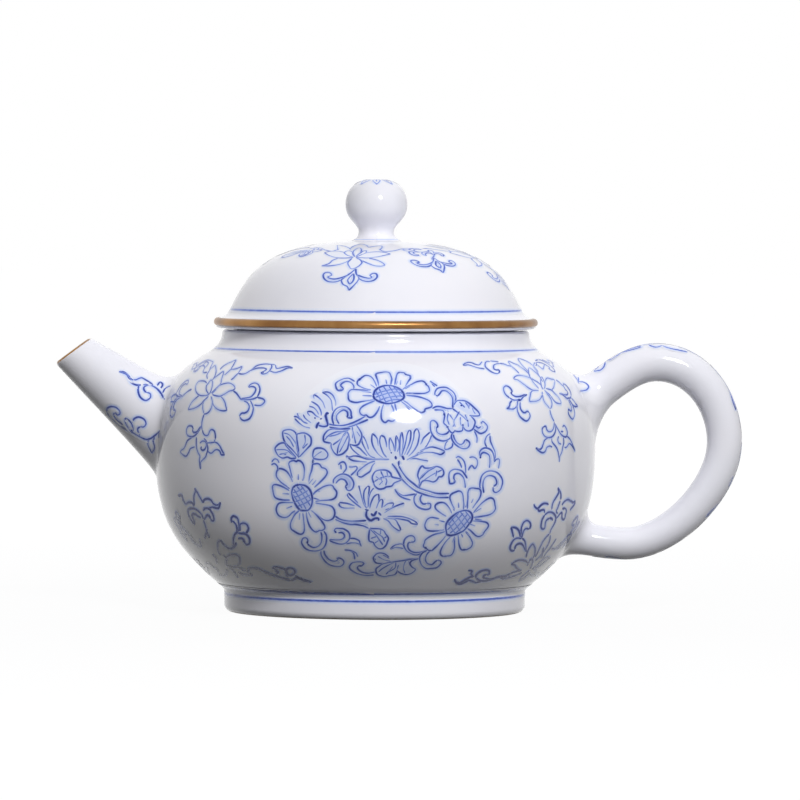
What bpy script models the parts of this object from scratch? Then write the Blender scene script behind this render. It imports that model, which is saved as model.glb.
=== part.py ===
"""A small porcelain teapot: a globular body on a foot ring, a conical spout, an ear handle and a domed lid.

Sizes are in metres. Radii are from the pot's upright axis, and heights from the surface that it stands on,
from the lid's seat for the lid, and from the knob's seat for the knob. The spout points to -X.
"""

import math

import bmesh
import bpy
import numpy as np
from mathutils import Vector

# Fits
LUTE_GAP = 0.0003  # between pieces that are stuck together with slip
SEAT_GAP = 0.0003  # between the lid and the neck that it rests on
SKIRT_CLEARANCE = 0.0005  # between the lid's skirt and the neck's bore

# Pot body
BELLY_RADIUS = 0.0484
BELLY_HEIGHT = 0.0360
BODY_HEIGHT = 0.0620  # top of the neck
NECK_LENGTH = 0.0049
NECK_RADIUS = 0.0338
NECK_WALL = 0.0029
SHOULDER_RADIUS = 0.0365  # where the shoulder turns up into the neck
SHOULDER_SLOPE = math.radians(28.7)
BASE_RADIUS = 0.0336  # where the belly ends above the foot
BASE_SLOPE = math.radians(41.6)
BODY_WALL = 0.0023
FLOOR_THICKNESS = 0.0027
RIM_EDGE = 0.0004

# How far the outline runs on along its tangent at the two ends of a stretch
SHOULDER_PULL = (0.0102, 0.0099)
BELLY_PULL = (0.0167, 0.0135)
NECK_PULL = (0.0024, 0.0010)
ROUND_PULL = 0.5523  # makes a quarter round of one cubic stretch
FLARE_PULL = 0.35  # of a root, as a share of its flare

# Foot ring
FOOT_RADIUS = 0.0331
FOOT_WIDTH = 0.0047
FOOT_HEIGHT = 0.0050
FOOT_OUTER_EDGE = 0.0016
FOOT_INNER_EDGE = 0.0010
FOOT_CREASE = 0.0005  # the small flare where the ring meets the belly

# Spout
SPOUT_PROJECTION = 0.0184  # from the belly to the middle of the mouth
SPOUT_DROP = 0.0050  # from the neck's top down to the middle of the mouth
SPOUT_SLOPE = math.radians(38)
SPOUT_SPREAD = math.radians(8.75)  # half angle of the cone
MOUTH_RADIUS = 0.0046
MOUTH_TILT = math.radians(53.4)  # of the mouth's face above the upright
TIP_WALL = 0.0014
BORE_SPREAD = math.radians(7.8)
SPOUT_FLARE = 0.0042  # of the root above the spout
SPOUT_UNDER_FLARE = 0.0018

# Handle, by the knots of its centre line
HANDLE_PROJECTION = 0.0284  # from the belly to the centre line at its widest
HANDLE_CREST_PROJECTION = 0.0134
HANDLE_CREST_DROP = 0.0069  # from the neck's top down to the centre line at its highest
HANDLE_WIDEST_HEIGHT = 0.0375
HANDLE_LOW_PROJECTION = 0.0103
HANDLE_LOW_HEIGHT = 0.0152
UPPER_ROOT_HEIGHT = 0.0455
UPPER_ROOT_SLOPE = math.radians(31)
LOWER_ROOT_HEIGHT = 0.0170
LOWER_ROOT_SLOPE = math.radians(9)
ROOT_DEPTH = 0.0028  # of the centre line's ends behind the wall's face
HANDLE_RADII = (0.0043, 0.0042, 0.0039, 0.0036, 0.00355)
UPPER_FLARE = 0.0072
LOWER_FLARE = 0.0038
HANDLE_PULLS = (0.33, 0.39, 0.30, 0.36)  # of each stretch between two knots, as a share of its chord

# Strainer
STRAINER_RADIUS = 0.0105  # of the dome's sphere
STRAINER_RISE = 0.0060  # of the dome over the wall
STRAINER_WALL = 0.0014
STRAINER_SINK = math.radians(20)  # how far round the dome runs on into the wall before it is trimmed
STRAINER_HOLE_RADIUS = 0.0009
STRAINER_RING_ANGLES = (0.0, math.radians(18), math.radians(36))
STRAINER_RING_COUNTS = (1, 6, 12)
STRAINER_TURN = math.radians(4)  # of the pattern of holes about the dome's axis

# Lid, in heights from its seat
LID_OVERHANG = 0.0013  # of the porcelain rim past the neck
LID_RIM_THICKNESS = 0.0022
LID_RIM_EDGE = 0.0004
LID_WALL = 0.0022
DOME_RADIUS = 0.0321
DOME_FOOT_HEIGHT = 0.0040
DOME_FOOT_LEAN = math.radians(23.7)
DOME_HEIGHT = 0.0193
DOME_PULL = (0.0118, 0.0206)
COVE_PULL = 0.0009
SKIRT_DEPTH = 0.0080
SKIRT_WALL = 0.0020
VENT_RADIUS = 0.0010

# Knob, in heights from its seat on the dome
KNOB_RADIUS = 0.0068
KNOB_HEIGHT = 0.0131
KNOB_MIDDLE = 0.0075
KNOB_WAIST_RADIUS = 0.0039
KNOB_WAIST_HEIGHT = 0.0016
KNOB_BASE_RADIUS = 0.0051
KNOB_TOP_EDGE = 0.0002
KNOB_PULL = (0.0034, 0.0018)

# Gilding, a fired layer that is drawn with a thickness
GILDING_THICKNESS = 0.0003
LID_GILDING_HEIGHT = 0.0015
LID_GILDING_CROWN = 0.00015

# Facets
SIDES = 48
SMALL_SIDES = 24
HANDLE_SIDES = 16
HOLE_SIDES = 8
LONG_STEPS = 8
SHORT_STEPS = 4
HANDLE_STEPS = 6
FLARE_STEPS = 6
WELD = 0.000002  # closer corners than this, left by the cuts, become one
SINK = 0.0035  # how far a root runs on into the wall before it is trimmed to it

# Sizes that follow
SHOULDER_HEIGHT = BODY_HEIGHT - NECK_LENGTH
BASE_HEIGHT = FOOT_HEIGHT + LUTE_GAP
FLOOR_HEIGHT = BASE_HEIGHT + FLOOR_THICKNESS
NECK_BORE = NECK_RADIUS - NECK_WALL
SKIRT_RADIUS = NECK_BORE - SKIRT_CLEARANCE
LID_RIM_RADIUS = NECK_RADIUS + LID_OVERHANG
MOUTH_REACH = BELLY_RADIUS + SPOUT_PROJECTION
HANDLE_REACH = BELLY_RADIUS + HANDLE_PROJECTION + HANDLE_RADII[2]

SPOUT_WAY = np.array((math.cos(SPOUT_SLOPE), 0, -math.sin(SPOUT_SLOPE)))
SPOUT_RISE = np.array((math.sin(SPOUT_SLOPE), 0, math.cos(SPOUT_SLOPE)))
SIDEWAYS = np.array((0.0, 1.0, 0.0))
MOUTH_CENTRE = np.array((-MOUTH_REACH, 0, BODY_HEIGHT - SPOUT_DROP))
MOUTH_NORMAL = np.array((-math.cos(MOUTH_TILT), 0, math.sin(MOUTH_TILT)))

PORCELAIN = (0.86, 0.87, 0.92, 1.0)
GOLD = (0.55, 0.33, 0.10, 1.0)


def bezier(start, start_pull, end_pull, end, steps):
    """Points of one cubic stretch, without its last point."""
    share = np.linspace(0, 1, steps, endpoint=False)[:, None]
    corners = [np.array(corner, float) for corner in (start, start_pull, end_pull, end)]
    weights = ((1 - share) ** 3, 3 * share * (1 - share) ** 2, 3 * share**2 * (1 - share), share**3)
    return sum(weight * corner for weight, corner in zip(weights, corners))


def rounded(start, corner, end, steps):
    """Points of a quarter round between two straight edges that meet in a corner, without its last point."""
    start, corner, end = (np.array(point, float) for point in (start, corner, end))
    pull = ROUND_PULL * (corner - start), ROUND_PULL * (corner - end)
    return bezier(start, start + pull[0], end + pull[1], end, steps)


def offset(outline, distance):
    """An outline that runs downwards, moved sideways: outwards where the distance is positive."""
    along = np.gradient(outline, axis=0)
    normals = np.column_stack((-along[:, 1], along[:, 0]))
    return outline + distance * normals / np.linalg.norm(normals, axis=1)[:, None]


def body_outline():
    """The outside of the body, from the shoulder's top to the base."""
    shoulder = np.array((SHOULDER_RADIUS, SHOULDER_HEIGHT))
    belly = np.array((BELLY_RADIUS, BELLY_HEIGHT))
    base = np.array((BASE_RADIUS, BASE_HEIGHT))
    shoulder_way = np.array((math.cos(SHOULDER_SLOPE), -math.sin(SHOULDER_SLOPE)))
    base_way = np.array((math.cos(BASE_SLOPE), math.sin(BASE_SLOPE)))
    upper = bezier(
        shoulder,
        shoulder + SHOULDER_PULL[0] * shoulder_way,
        belly + (0, SHOULDER_PULL[1]),
        belly,
        LONG_STEPS,
    )
    lower = bezier(
        belly,
        belly - (0, BELLY_PULL[0]),
        base + BELLY_PULL[1] * base_way,
        base,
        LONG_STEPS,
    )
    return np.vstack((upper, lower, base))


def neck_outline():
    """The hollow curve from under the rim down to the shoulder."""
    top = np.array((NECK_RADIUS, BODY_HEIGHT - RIM_EDGE))
    shoulder = np.array((SHOULDER_RADIUS, SHOULDER_HEIGHT))
    shoulder_way = np.array((math.cos(SHOULDER_SLOPE), -math.sin(SHOULDER_SLOPE)))
    return bezier(
        top,
        top - (0, NECK_PULL[0]),
        shoulder - NECK_PULL[1] * shoulder_way,
        shoulder,
        SHORT_STEPS,
    )


def inner_outline():
    """The inside of the body below the neck, from the shoulder down to the floor's edge."""
    wall = offset(body_outline(), -BODY_WALL)
    floor_radius = np.interp(FLOOR_HEIGHT, wall[::-1, 1], wall[::-1, 0])
    return np.vstack((wall[wall[:, 1] > FLOOR_HEIGHT + RIM_EDGE], (floor_radius, FLOOR_HEIGHT)))


def body_radius(height):
    """The body's outer radius at a height."""
    outline = np.vstack((neck_outline(), body_outline()))[::-1]
    return np.interp(height, outline[:, 1], outline[:, 0])


def onto_body(point, depth=0.0):
    """The point moved level onto the body's face, or as far behind it as depth."""
    level = np.array((point[0], point[1], 0))
    return level / np.linalg.norm(level) * (body_radius(point[2]) - depth) + (0, 0, point[2])


def body_normal(point):
    """The outward direction of the body's face at a point on it."""
    step = 0.0005
    lean = (body_radius(point[2] + step) - body_radius(point[2] - step)) / (2 * step)
    level = math.hypot(point[0], point[1])
    normal = np.array((point[0] / level, point[1] / level, -lean))
    return normal / np.linalg.norm(normal)


def meet_body(start, way, depth=0.0):
    """Where a line from outside first comes to the body's face, or to a face behind it."""
    near, far = 0.0, BELLY_RADIUS
    halvings = 40
    for _ in range(halvings):
        middle = (near + far) / 2
        point = start + middle * way
        outside = math.hypot(point[0], point[1]) > body_radius(point[2]) - depth
        near, far = (middle, far) if outside else (near, middle)
    return start + near * way


def flare(ring, ways, widths):
    """Rings that carry the end of a tube on to the body and turn out along its face, then sink into it."""
    curves = []
    middle = ring.mean(axis=0)
    for point, way, width in zip(ring, ways, widths):
        hit = meet_body(point, way)
        normal = body_normal(hit)
        out = point - middle
        out = out - normal * (out @ normal)
        out = out / np.linalg.norm(out)
        end = onto_body(hit + width * out)
        tangent = (end - hit) / np.linalg.norm(end - hit)
        pull = FLARE_PULL * width
        curve = bezier(point, hit - pull * way, hit + pull * tangent, end, FLARE_STEPS)
        curves.append(np.vstack((curve[1:], end, onto_body(end, SINK))))
    return list(np.array(curves).swapaxes(0, 1))


def material(name, colour, roughness, metallic=0.0):
    made = bpy.data.materials.new(name)
    made.use_nodes = True
    shader = made.node_tree.nodes["Principled BSDF"]
    shader.inputs["Base Color"].default_value = colour
    shader.inputs["Roughness"].default_value = roughness
    shader.inputs["Metallic"].default_value = metallic
    return made


def add_object(name, mesh, parent, finish):
    """The named object of a mesh. With no finish it is a cutter, which isn't part of the teapot."""
    made = bpy.data.objects.new(name, mesh)
    bpy.context.scene.collection.objects.link(made)
    made.parent = parent
    if finish:
        mesh.materials.append(finish)
        mesh.shade_smooth()
        mesh.set_sharp_from_angle(angle=math.radians(40))
    else:
        made.hide_render = True
        made.display_type = "WIRE"
    return made


def turned(name, outline, closed, sides, parent, finish=None):
    """A solid turned from an outline of radii and heights that runs down its outer side."""
    mesh = bpy.data.meshes.new(name)
    shape = bmesh.new()
    points = [shape.verts.new((radius, 0, height)) for radius, height in outline]
    followers = points[1:] + points[:1] if closed else points[1:]
    for point, follower in zip(points, followers):
        shape.edges.new((point, follower))
    shape.to_mesh(mesh)
    shape.free()
    made = add_object(name, mesh, parent, finish)
    screw = made.modifiers.new("turn", "SCREW")
    screw.steps = screw.render_steps = sides
    screw.use_merge_vertices = True
    screw.merge_threshold = 0.00001
    return made


def lofted(name, rings, closed, parent, finish=None):
    """A solid through rings of points. Its ends are capped, or joined to each other where it is closed."""
    mesh = bpy.data.meshes.new(name)
    shape = bmesh.new()
    loops = [[shape.verts.new(point) for point in ring] for ring in rings]
    followers = loops[1:] + loops[:1] if closed else loops[1:]
    for loop, follower in zip(loops, followers):
        for near, far in zip(zip(loop, loop[1:] + loop[:1]), zip(follower, follower[1:] + follower[:1])):
            shape.faces.new((*near, *far[::-1]))
    if not closed:
        shape.faces.new(loops[0])
        shape.faces.new(loops[-1])
    bmesh.ops.recalc_face_normals(shape, faces=shape.faces)
    shape.to_mesh(mesh)
    shape.free()
    return add_object(name, mesh, parent, finish)


def cut(target, cutter, operation="DIFFERENCE"):
    boolean = target.modifiers.new(cutter.name, "BOOLEAN")
    boolean.operation = operation
    boolean.object = cutter
    boolean.solver = "EXACT"


def make_body(parent, finish):
    rim = [
        (NECK_BORE, SHOULDER_HEIGHT),
        (NECK_BORE, BODY_HEIGHT - RIM_EDGE),
        (NECK_BORE + RIM_EDGE, BODY_HEIGHT),
        (NECK_RADIUS - RIM_EDGE, BODY_HEIGHT),
    ]
    inside = inner_outline()[::-1]
    outline = np.vstack(((0, FLOOR_HEIGHT), inside, rim, neck_outline(), body_outline(), (0, BASE_HEIGHT)))
    return turned("pot_body", outline, False, SIDES, parent, finish)


def make_foot(parent, finish):
    inner_radius = FOOT_RADIUS - FOOT_WIDTH
    flat_radius = FOOT_RADIUS - FOOT_OUTER_EDGE
    edge = rounded((FOOT_RADIUS, FOOT_OUTER_EDGE), (FOOT_RADIUS, 0), (flat_radius, 0), SHORT_STEPS)
    outline = np.vstack(
        (
            (FOOT_RADIUS + FOOT_CREASE, FOOT_HEIGHT),
            (FOOT_RADIUS, FOOT_HEIGHT - FOOT_CREASE),
            edge,
            (flat_radius, 0),
            (inner_radius + FOOT_INNER_EDGE, 0),
            (inner_radius, FOOT_INNER_EDGE),
            (inner_radius, FOOT_HEIGHT),
        )
    )
    return turned("foot_ring", outline, True, SIDES, parent, finish)


def spout_directions():
    """Unit vectors square to the spout's axis, one for each side."""
    angles = np.arange(SMALL_SIDES) * 2 * math.pi / SMALL_SIDES
    return [math.cos(angle) * SPOUT_RISE + math.sin(angle) * SIDEWAYS for angle in angles]


def mouth_ring(radius, spread, setback):
    """A cone's ring on the mouth's slanting face, or on one set back behind it."""
    ring = []
    for out in spout_directions():
        way = SPOUT_WAY + math.tan(spread) * out
        start = radius * out + setback * MOUTH_NORMAL
        travel = -(start @ MOUTH_NORMAL) / (way @ MOUTH_NORMAL)
        ring.append(MOUTH_CENTRE - setback * MOUTH_NORMAL + start + travel * way)
    return np.array(ring)


def axis_ring(radius, spread, distance):
    """A cone's ring square to the spout's axis, at a distance behind the mouth's middle."""
    size = radius + distance * math.tan(spread)
    return np.array([MOUTH_CENTRE + distance * SPOUT_WAY + size * out for out in spout_directions()])


def spout_travel(depth):
    """How far the spout's axis runs from the mouth to the body's face, or to a face behind it."""
    return np.linalg.norm(meet_body(MOUTH_CENTRE, SPOUT_WAY, depth) - MOUTH_CENTRE)


def make_spout(parent, finish):
    setback = GILDING_THICKNESS + LUTE_GAP
    neck = axis_ring(MOUTH_RADIUS, SPOUT_SPREAD, spout_travel(0) - 2 * SPOUT_FLARE)
    ways, widths = [], []
    for out in spout_directions():
        way = SPOUT_WAY + math.tan(SPOUT_SPREAD) * out
        ways.append(way / np.linalg.norm(way))
        widths.append(SPOUT_UNDER_FLARE + (SPOUT_FLARE - SPOUT_UNDER_FLARE) * (1 + out @ SPOUT_RISE) / 2)
    rings = [mouth_ring(MOUTH_RADIUS, SPOUT_SPREAD, setback), neck] + flare(neck, ways, widths)
    return lofted("spout", rings, False, parent, finish)


def make_spout_gilding(parent, finish):
    bore = MOUTH_RADIUS - TIP_WALL
    rings = [
        mouth_ring(MOUTH_RADIUS, SPOUT_SPREAD, 0),
        mouth_ring(MOUTH_RADIUS, SPOUT_SPREAD, GILDING_THICKNESS),
        mouth_ring(bore, BORE_SPREAD, GILDING_THICKNESS),
        mouth_ring(bore, BORE_SPREAD, 0),
    ]
    return lofted("spout_lip_gilding", rings, True, parent, finish)


def make_bore_cutter(parent):
    """The spout's passage, from before its mouth to behind the body's wall."""
    bore = MOUTH_RADIUS - TIP_WALL
    through = spout_travel(BODY_WALL) + SINK
    rings = [axis_ring(bore, BORE_SPREAD, -2 * MOUTH_RADIUS), axis_ring(bore, BORE_SPREAD, through)]
    return lofted("spout_bore_cutter", rings, False, parent)


def handle_knots():
    """The centre line's knots, each with the direction that the line runs there."""
    upper = onto_body(np.array((1.0, 0, UPPER_ROOT_HEIGHT)), ROOT_DEPTH)
    crest = np.array((BELLY_RADIUS + HANDLE_CREST_PROJECTION, 0, BODY_HEIGHT - HANDLE_CREST_DROP))
    widest = np.array((BELLY_RADIUS + HANDLE_PROJECTION, 0, HANDLE_WIDEST_HEIGHT))
    low = np.array((BELLY_RADIUS + HANDLE_LOW_PROJECTION, 0, HANDLE_LOW_HEIGHT))
    lower = onto_body(np.array((1.0, 0, LOWER_ROOT_HEIGHT)), ROOT_DEPTH)
    ways = (
        (math.cos(UPPER_ROOT_SLOPE), 0, math.sin(UPPER_ROOT_SLOPE)),
        (1, 0, 0),
        (0, 0, -1),
        (-1, 0, 0),
        (-math.cos(LOWER_ROOT_SLOPE), 0, math.sin(LOWER_ROOT_SLOPE)),
    )
    return list(zip((upper, crest, widest, low, lower), map(np.array, ways)))


def handle_line():
    """Points along the handle's centre line, each with the handle's radius there."""
    knots = handle_knots()
    points, radii = [], []
    for index, ((start, way), (end, end_way)) in enumerate(zip(knots, knots[1:])):
        reach = HANDLE_PULLS[index] * np.linalg.norm(end - start)
        points.append(bezier(start, start + reach * way, end - reach * end_way, end, HANDLE_STEPS))
        radii += list(np.linspace(*HANDLE_RADII[index : index + 2], HANDLE_STEPS, endpoint=False))
    return np.vstack((*points, knots[-1][0])), np.array(radii + [HANDLE_RADII[-1]])


def make_handle(parent, finish):
    points, radii = handle_line()
    ways = np.gradient(points, axis=0)
    ways = ways / np.linalg.norm(ways, axis=1)[:, None]
    angles = np.arange(HANDLE_SIDES) * 2 * math.pi / HANDLE_SIDES
    rings = []
    for point, way, radius in zip(points, ways, radii):
        out = np.cross(way, SIDEWAYS)
        circle = [math.cos(angle) * out + math.sin(angle) * SIDEWAYS for angle in angles]
        rings.append(point + radius * np.array(circle))
    clear = [np.all(np.hypot(ring[:, 0], ring[:, 1]) > body_radius(ring[:, 2]) + LUTE_GAP) for ring in rings]
    first = clear.index(True)
    last = len(clear) - 1 - clear[::-1].index(True)
    upper = flare(rings[first], [-ways[first]] * HANDLE_SIDES, [UPPER_FLARE] * HANDLE_SIDES)[::-1]
    lower = flare(rings[last], [ways[last]] * HANDLE_SIDES, [LOWER_FLARE] * HANDLE_SIDES)
    return lofted("handle", upper + rings[first : last + 1] + lower, False, parent, finish)


def make_strainer(parent, finish):
    """A pierced dome on the inside of the wall, over the spout's opening."""
    seat = meet_body(MOUTH_CENTRE, SPOUT_WAY, BODY_WALL)
    inwards = Vector(-body_normal(seat))
    inner_radius = STRAINER_RADIUS - STRAINER_WALL
    base_angle = math.acos((STRAINER_RADIUS - STRAINER_RISE) / STRAINER_RADIUS) + STRAINER_SINK
    angles = np.linspace(0, base_angle, LONG_STEPS)
    dome = np.column_stack((np.sin(angles), np.cos(angles)))
    outline = np.vstack((STRAINER_RADIUS * dome, inner_radius * dome[::-1]))
    made = turned("spout_strainer", outline, False, SMALL_SIDES, parent, finish)
    made.rotation_euler = inwards.to_track_quat("Z", "Y").to_euler()
    made.location = Vector(seat) - (STRAINER_RADIUS - STRAINER_RISE) * inwards
    pins = make_strainer_pins(parent)
    pins.rotation_euler = made.rotation_euler
    pins.location = made.location
    cut(made, make_cavity_cutter(parent), "INTERSECT")
    cut(made, pins)
    made.modifiers.new("weld", "WELD").merge_threshold = WELD
    return made


def make_strainer_pins(parent):
    """The strainer's holes, as pins that point out from the middle of its sphere."""
    mesh = bpy.data.meshes.new("strainer_pins")
    shape = bmesh.new()
    for tilt, count in zip(STRAINER_RING_ANGLES, STRAINER_RING_COUNTS):
        for index in range(count):
            turn = STRAINER_TURN + 2 * math.pi * index / count
            way = Vector((math.sin(tilt) * math.cos(turn), math.sin(tilt) * math.sin(turn), math.cos(tilt)))
            place = way.to_track_quat("Z", "Y").to_matrix().to_4x4()
            place.translation = (STRAINER_RADIUS - STRAINER_WALL / 2) * way
            bmesh.ops.create_cone(
                shape,
                cap_ends=True,
                segments=HOLE_SIDES,
                radius1=STRAINER_HOLE_RADIUS,
                radius2=STRAINER_HOLE_RADIUS,
                depth=3 * STRAINER_WALL,
                matrix=place,
            )
    shape.to_mesh(mesh)
    shape.free()
    return add_object("strainer_pins", mesh, parent, None)


def make_cavity_cutter(parent):
    """The pot's inside, less the gap that a piece keeps to the wall."""
    inside = offset(inner_outline(), -LUTE_GAP)
    outline = np.vstack(((0, inside[0, 1]), inside, (0, inside[-1, 1])))
    return turned("cavity_cutter", outline, False, SIDES, parent)


def make_wall_cutter(parent):
    """The body's outside and the gap that a piece luted to it keeps."""
    outside = offset(np.vstack((neck_outline(), body_outline())), LUTE_GAP)
    outline = np.vstack(((0, outside[0, 1]), outside, (0, outside[-1, 1])))
    return turned("wall_cutter", outline, False, SIDES, parent)


def dome_outline():
    """The outside of the lid's dome, from the vent to its foot."""
    foot = np.array((DOME_RADIUS, DOME_FOOT_HEIGHT))
    foot_way = np.array((-math.sin(DOME_FOOT_LEAN), math.cos(DOME_FOOT_LEAN)))
    dome = bezier(
        (0, DOME_HEIGHT),
        (DOME_PULL[1], DOME_HEIGHT),
        foot + DOME_PULL[0] * foot_way,
        foot,
        LONG_STEPS + 1,
    )
    return np.vstack(((VENT_RADIUS, DOME_HEIGHT), dome[1:], foot))


def make_lid(parent, finish):
    outside = dome_outline()
    foot = outside[-1]
    rim_top = np.array((LID_RIM_RADIUS - LID_RIM_EDGE, LID_RIM_THICKNESS))
    foot_way = np.array((math.sin(DOME_FOOT_LEAN), -math.cos(DOME_FOOT_LEAN)))
    cove = bezier(foot, foot + COVE_PULL * foot_way, rim_top - (COVE_PULL, 0), rim_top, SHORT_STEPS)
    rim = [
        rim_top,
        (LID_RIM_RADIUS, LID_RIM_THICKNESS - LID_RIM_EDGE),
        (LID_RIM_RADIUS, LID_RIM_EDGE),
        (LID_RIM_RADIUS - LID_RIM_EDGE, 0),
    ]
    skirt_inner = SKIRT_RADIUS - SKIRT_WALL
    skirt_end = SKIRT_WALL / 3
    skirt = [
        (SKIRT_RADIUS, 0),
        (SKIRT_RADIUS, skirt_end - SKIRT_DEPTH),
        (SKIRT_RADIUS - skirt_end, -SKIRT_DEPTH),
        (skirt_inner + skirt_end, -SKIRT_DEPTH),
        (skirt_inner, skirt_end - SKIRT_DEPTH),
    ]
    under = offset(outside, -LID_WALL)[::-1]
    under = under[under[:, 0] < skirt_inner]
    under[-1] = (VENT_RADIUS, DOME_HEIGHT - LID_WALL)
    outline = np.vstack((outside[:-1], cove, rim, skirt, (skirt_inner, under[0, 1] - LID_WALL), under))
    return turned("lid", outline, True, SIDES, parent, finish)


def make_knob(parent, finish):
    widest = np.array((KNOB_RADIUS, KNOB_MIDDLE))
    waist = np.array((KNOB_WAIST_RADIUS, KNOB_WAIST_HEIGHT))
    vent_edge = (VENT_RADIUS + KNOB_TOP_EDGE, KNOB_HEIGHT)
    top = rounded(vent_edge, (KNOB_RADIUS, KNOB_HEIGHT), widest, LONG_STEPS)
    under = bezier(widest, widest - (0, KNOB_PULL[0]), waist + (0, KNOB_PULL[1]), waist, LONG_STEPS)
    flared = rounded(waist, (KNOB_WAIST_RADIUS, 0), (KNOB_BASE_RADIUS, 0), SHORT_STEPS)
    ends = [(KNOB_BASE_RADIUS, 0), (VENT_RADIUS, 0), (VENT_RADIUS, KNOB_HEIGHT - KNOB_TOP_EDGE)]
    return turned("lid_knob", np.vstack((top, under, flared, ends)), True, SMALL_SIDES, parent, finish)


def make_lid_gilding(parent, finish):
    inner = LID_RIM_RADIUS + LUTE_GAP
    outer = inner + GILDING_THICKNESS
    low = (LID_RIM_THICKNESS - LID_GILDING_HEIGHT) / 2
    high = low + LID_GILDING_HEIGHT
    outline = [
        (inner, high),
        (outer - LID_GILDING_CROWN, high),
        (outer, high - LID_GILDING_HEIGHT / 4),
        (outer, low + LID_GILDING_HEIGHT / 4),
        (outer - LID_GILDING_CROWN, low),
        (inner, low),
    ]
    return turned("lid_rim_gilding", outline, True, SIDES, parent, finish)


def add_empty(name, place, parent=None):
    made = bpy.data.objects.new(name, None)
    bpy.context.scene.collection.objects.link(made)
    made.parent = parent
    made.location = place
    return made


def main():
    for old in list(bpy.data.objects):
        bpy.data.objects.remove(old, do_unlink=True)

    # The origin is under the middle of the whole teapot,
    # so the pot's axis stands a little to the spout's side.
    spout_reach = -mouth_ring(MOUTH_RADIUS, SPOUT_SPREAD, 0)[:, 0].min()
    pot_axis = add_empty("pot_axis", ((spout_reach - HANDLE_REACH) / 2, 0, 0))
    lid_axis = add_empty("lid_axis", (0, 0, BODY_HEIGHT + SEAT_GAP), pot_axis)
    knob_seat = add_empty("knob_seat", (0, 0, DOME_HEIGHT + LUTE_GAP), lid_axis)

    bore = make_bore_cutter(pot_axis)
    wall = make_wall_cutter(pot_axis)
    body = make_body(pot_axis, material("body_porcelain", PORCELAIN, 0.12))
    cut(body, bore)
    make_foot(pot_axis, material("foot_porcelain", PORCELAIN, 0.15))
    spout = make_spout(pot_axis, material("spout_porcelain", PORCELAIN, 0.12))
    cut(spout, wall)
    cut(spout, bore)
    make_spout_gilding(pot_axis, material("spout_gold", GOLD, 0.3, 1.0))
    make_strainer(pot_axis, material("strainer_porcelain", PORCELAIN, 0.2))
    handle = make_handle(pot_axis, material("handle_porcelain", PORCELAIN, 0.12))
    cut(handle, wall)
    make_lid(lid_axis, material("lid_porcelain", PORCELAIN, 0.12))
    make_lid_gilding(lid_axis, material("lid_gold", GOLD, 0.3, 1.0))
    make_knob(knob_seat, material("knob_porcelain", PORCELAIN, 0.12))


main()
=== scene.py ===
import math

import bmesh
import bpy
import numpy as np
from mathutils import Matrix, Vector
from mathutils.bvhtree import BVHTree


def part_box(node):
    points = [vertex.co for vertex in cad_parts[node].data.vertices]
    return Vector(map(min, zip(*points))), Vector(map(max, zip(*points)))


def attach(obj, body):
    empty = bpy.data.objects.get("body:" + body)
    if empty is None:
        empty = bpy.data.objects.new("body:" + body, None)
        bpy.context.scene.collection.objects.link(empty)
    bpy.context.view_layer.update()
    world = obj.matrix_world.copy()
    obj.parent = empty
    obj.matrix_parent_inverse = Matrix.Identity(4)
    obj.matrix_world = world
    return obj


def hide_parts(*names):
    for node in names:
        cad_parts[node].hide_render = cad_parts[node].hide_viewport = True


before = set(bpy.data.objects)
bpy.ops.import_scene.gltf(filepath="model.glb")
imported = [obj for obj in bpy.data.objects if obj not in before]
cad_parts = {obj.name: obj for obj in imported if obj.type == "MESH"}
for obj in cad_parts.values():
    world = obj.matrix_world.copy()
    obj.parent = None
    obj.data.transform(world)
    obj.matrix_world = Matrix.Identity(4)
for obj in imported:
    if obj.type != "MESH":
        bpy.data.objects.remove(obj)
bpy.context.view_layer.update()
mm = 0.001
footLow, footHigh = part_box("foot_ring")
axisX = (footLow.x + footHigh.x) / 2  # the pot's upright axis
print("frame loaded, axis at", round(axisX, 5))


def toLinear(colour):
    parts = [int(colour[at : at + 2], 16) / 255 for at in (1, 3, 5)]
    return tuple(p / 12.92 if p <= 0.04045 else ((p + 0.055) / 1.055) ** 2.4 for p in parts) + (1.0,)


def addNode(tree, kind, inputs=None, **settings):
    node = tree.nodes.new(kind)
    for name, value in settings.items():
        setattr(node, name, value)
    for name, value in (inputs or {}).items():
        if isinstance(value, bpy.types.NodeSocket):
            tree.links.new(value, node.inputs[name])
        else:
            node.inputs[name].default_value = value
    return node


def addRamp(tree, factor, stops):
    node = addNode(tree, "ShaderNodeValToRGB", {"Fac": factor})
    while len(node.color_ramp.elements) < len(stops):
        node.color_ramp.elements.new(0.5)
    for element, (position, colour) in zip(node.color_ramp.elements, stops):
        element.position = position
        element.color = colour if len(colour) == 4 else toLinear(colour)
    return node.outputs["Color"]


def addRange(tree, value, low, high):
    node = addNode(tree, "ShaderNodeMapRange", {"Value": value, "To Min": low, "To Max": high})
    return node.outputs["Result"]


def addMath(tree, operation, first, second):
    return addNode(tree, "ShaderNodeMath", {0: first, 1: second}, operation=operation).outputs[0]


def addNoise(tree, place, scale, detail, **more):
    inputs = {"Vector": place, "Scale": scale, "Detail": detail, **more}
    return addNode(tree, "ShaderNodeTexNoise", inputs).outputs["Fac"]


def addBump(tree, shader, height, strength, distance):
    node = addNode(tree, "ShaderNodeBump", {"Height": height, "Strength": strength, "Distance": distance})
    tree.links.new(node.outputs["Normal"], shader.inputs["Normal"])


def newMaterial(name):
    made = bpy.data.materials.new(name)
    made.use_nodes = True
    return made, made.node_tree, made.node_tree.nodes["Principled BSDF"]


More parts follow.
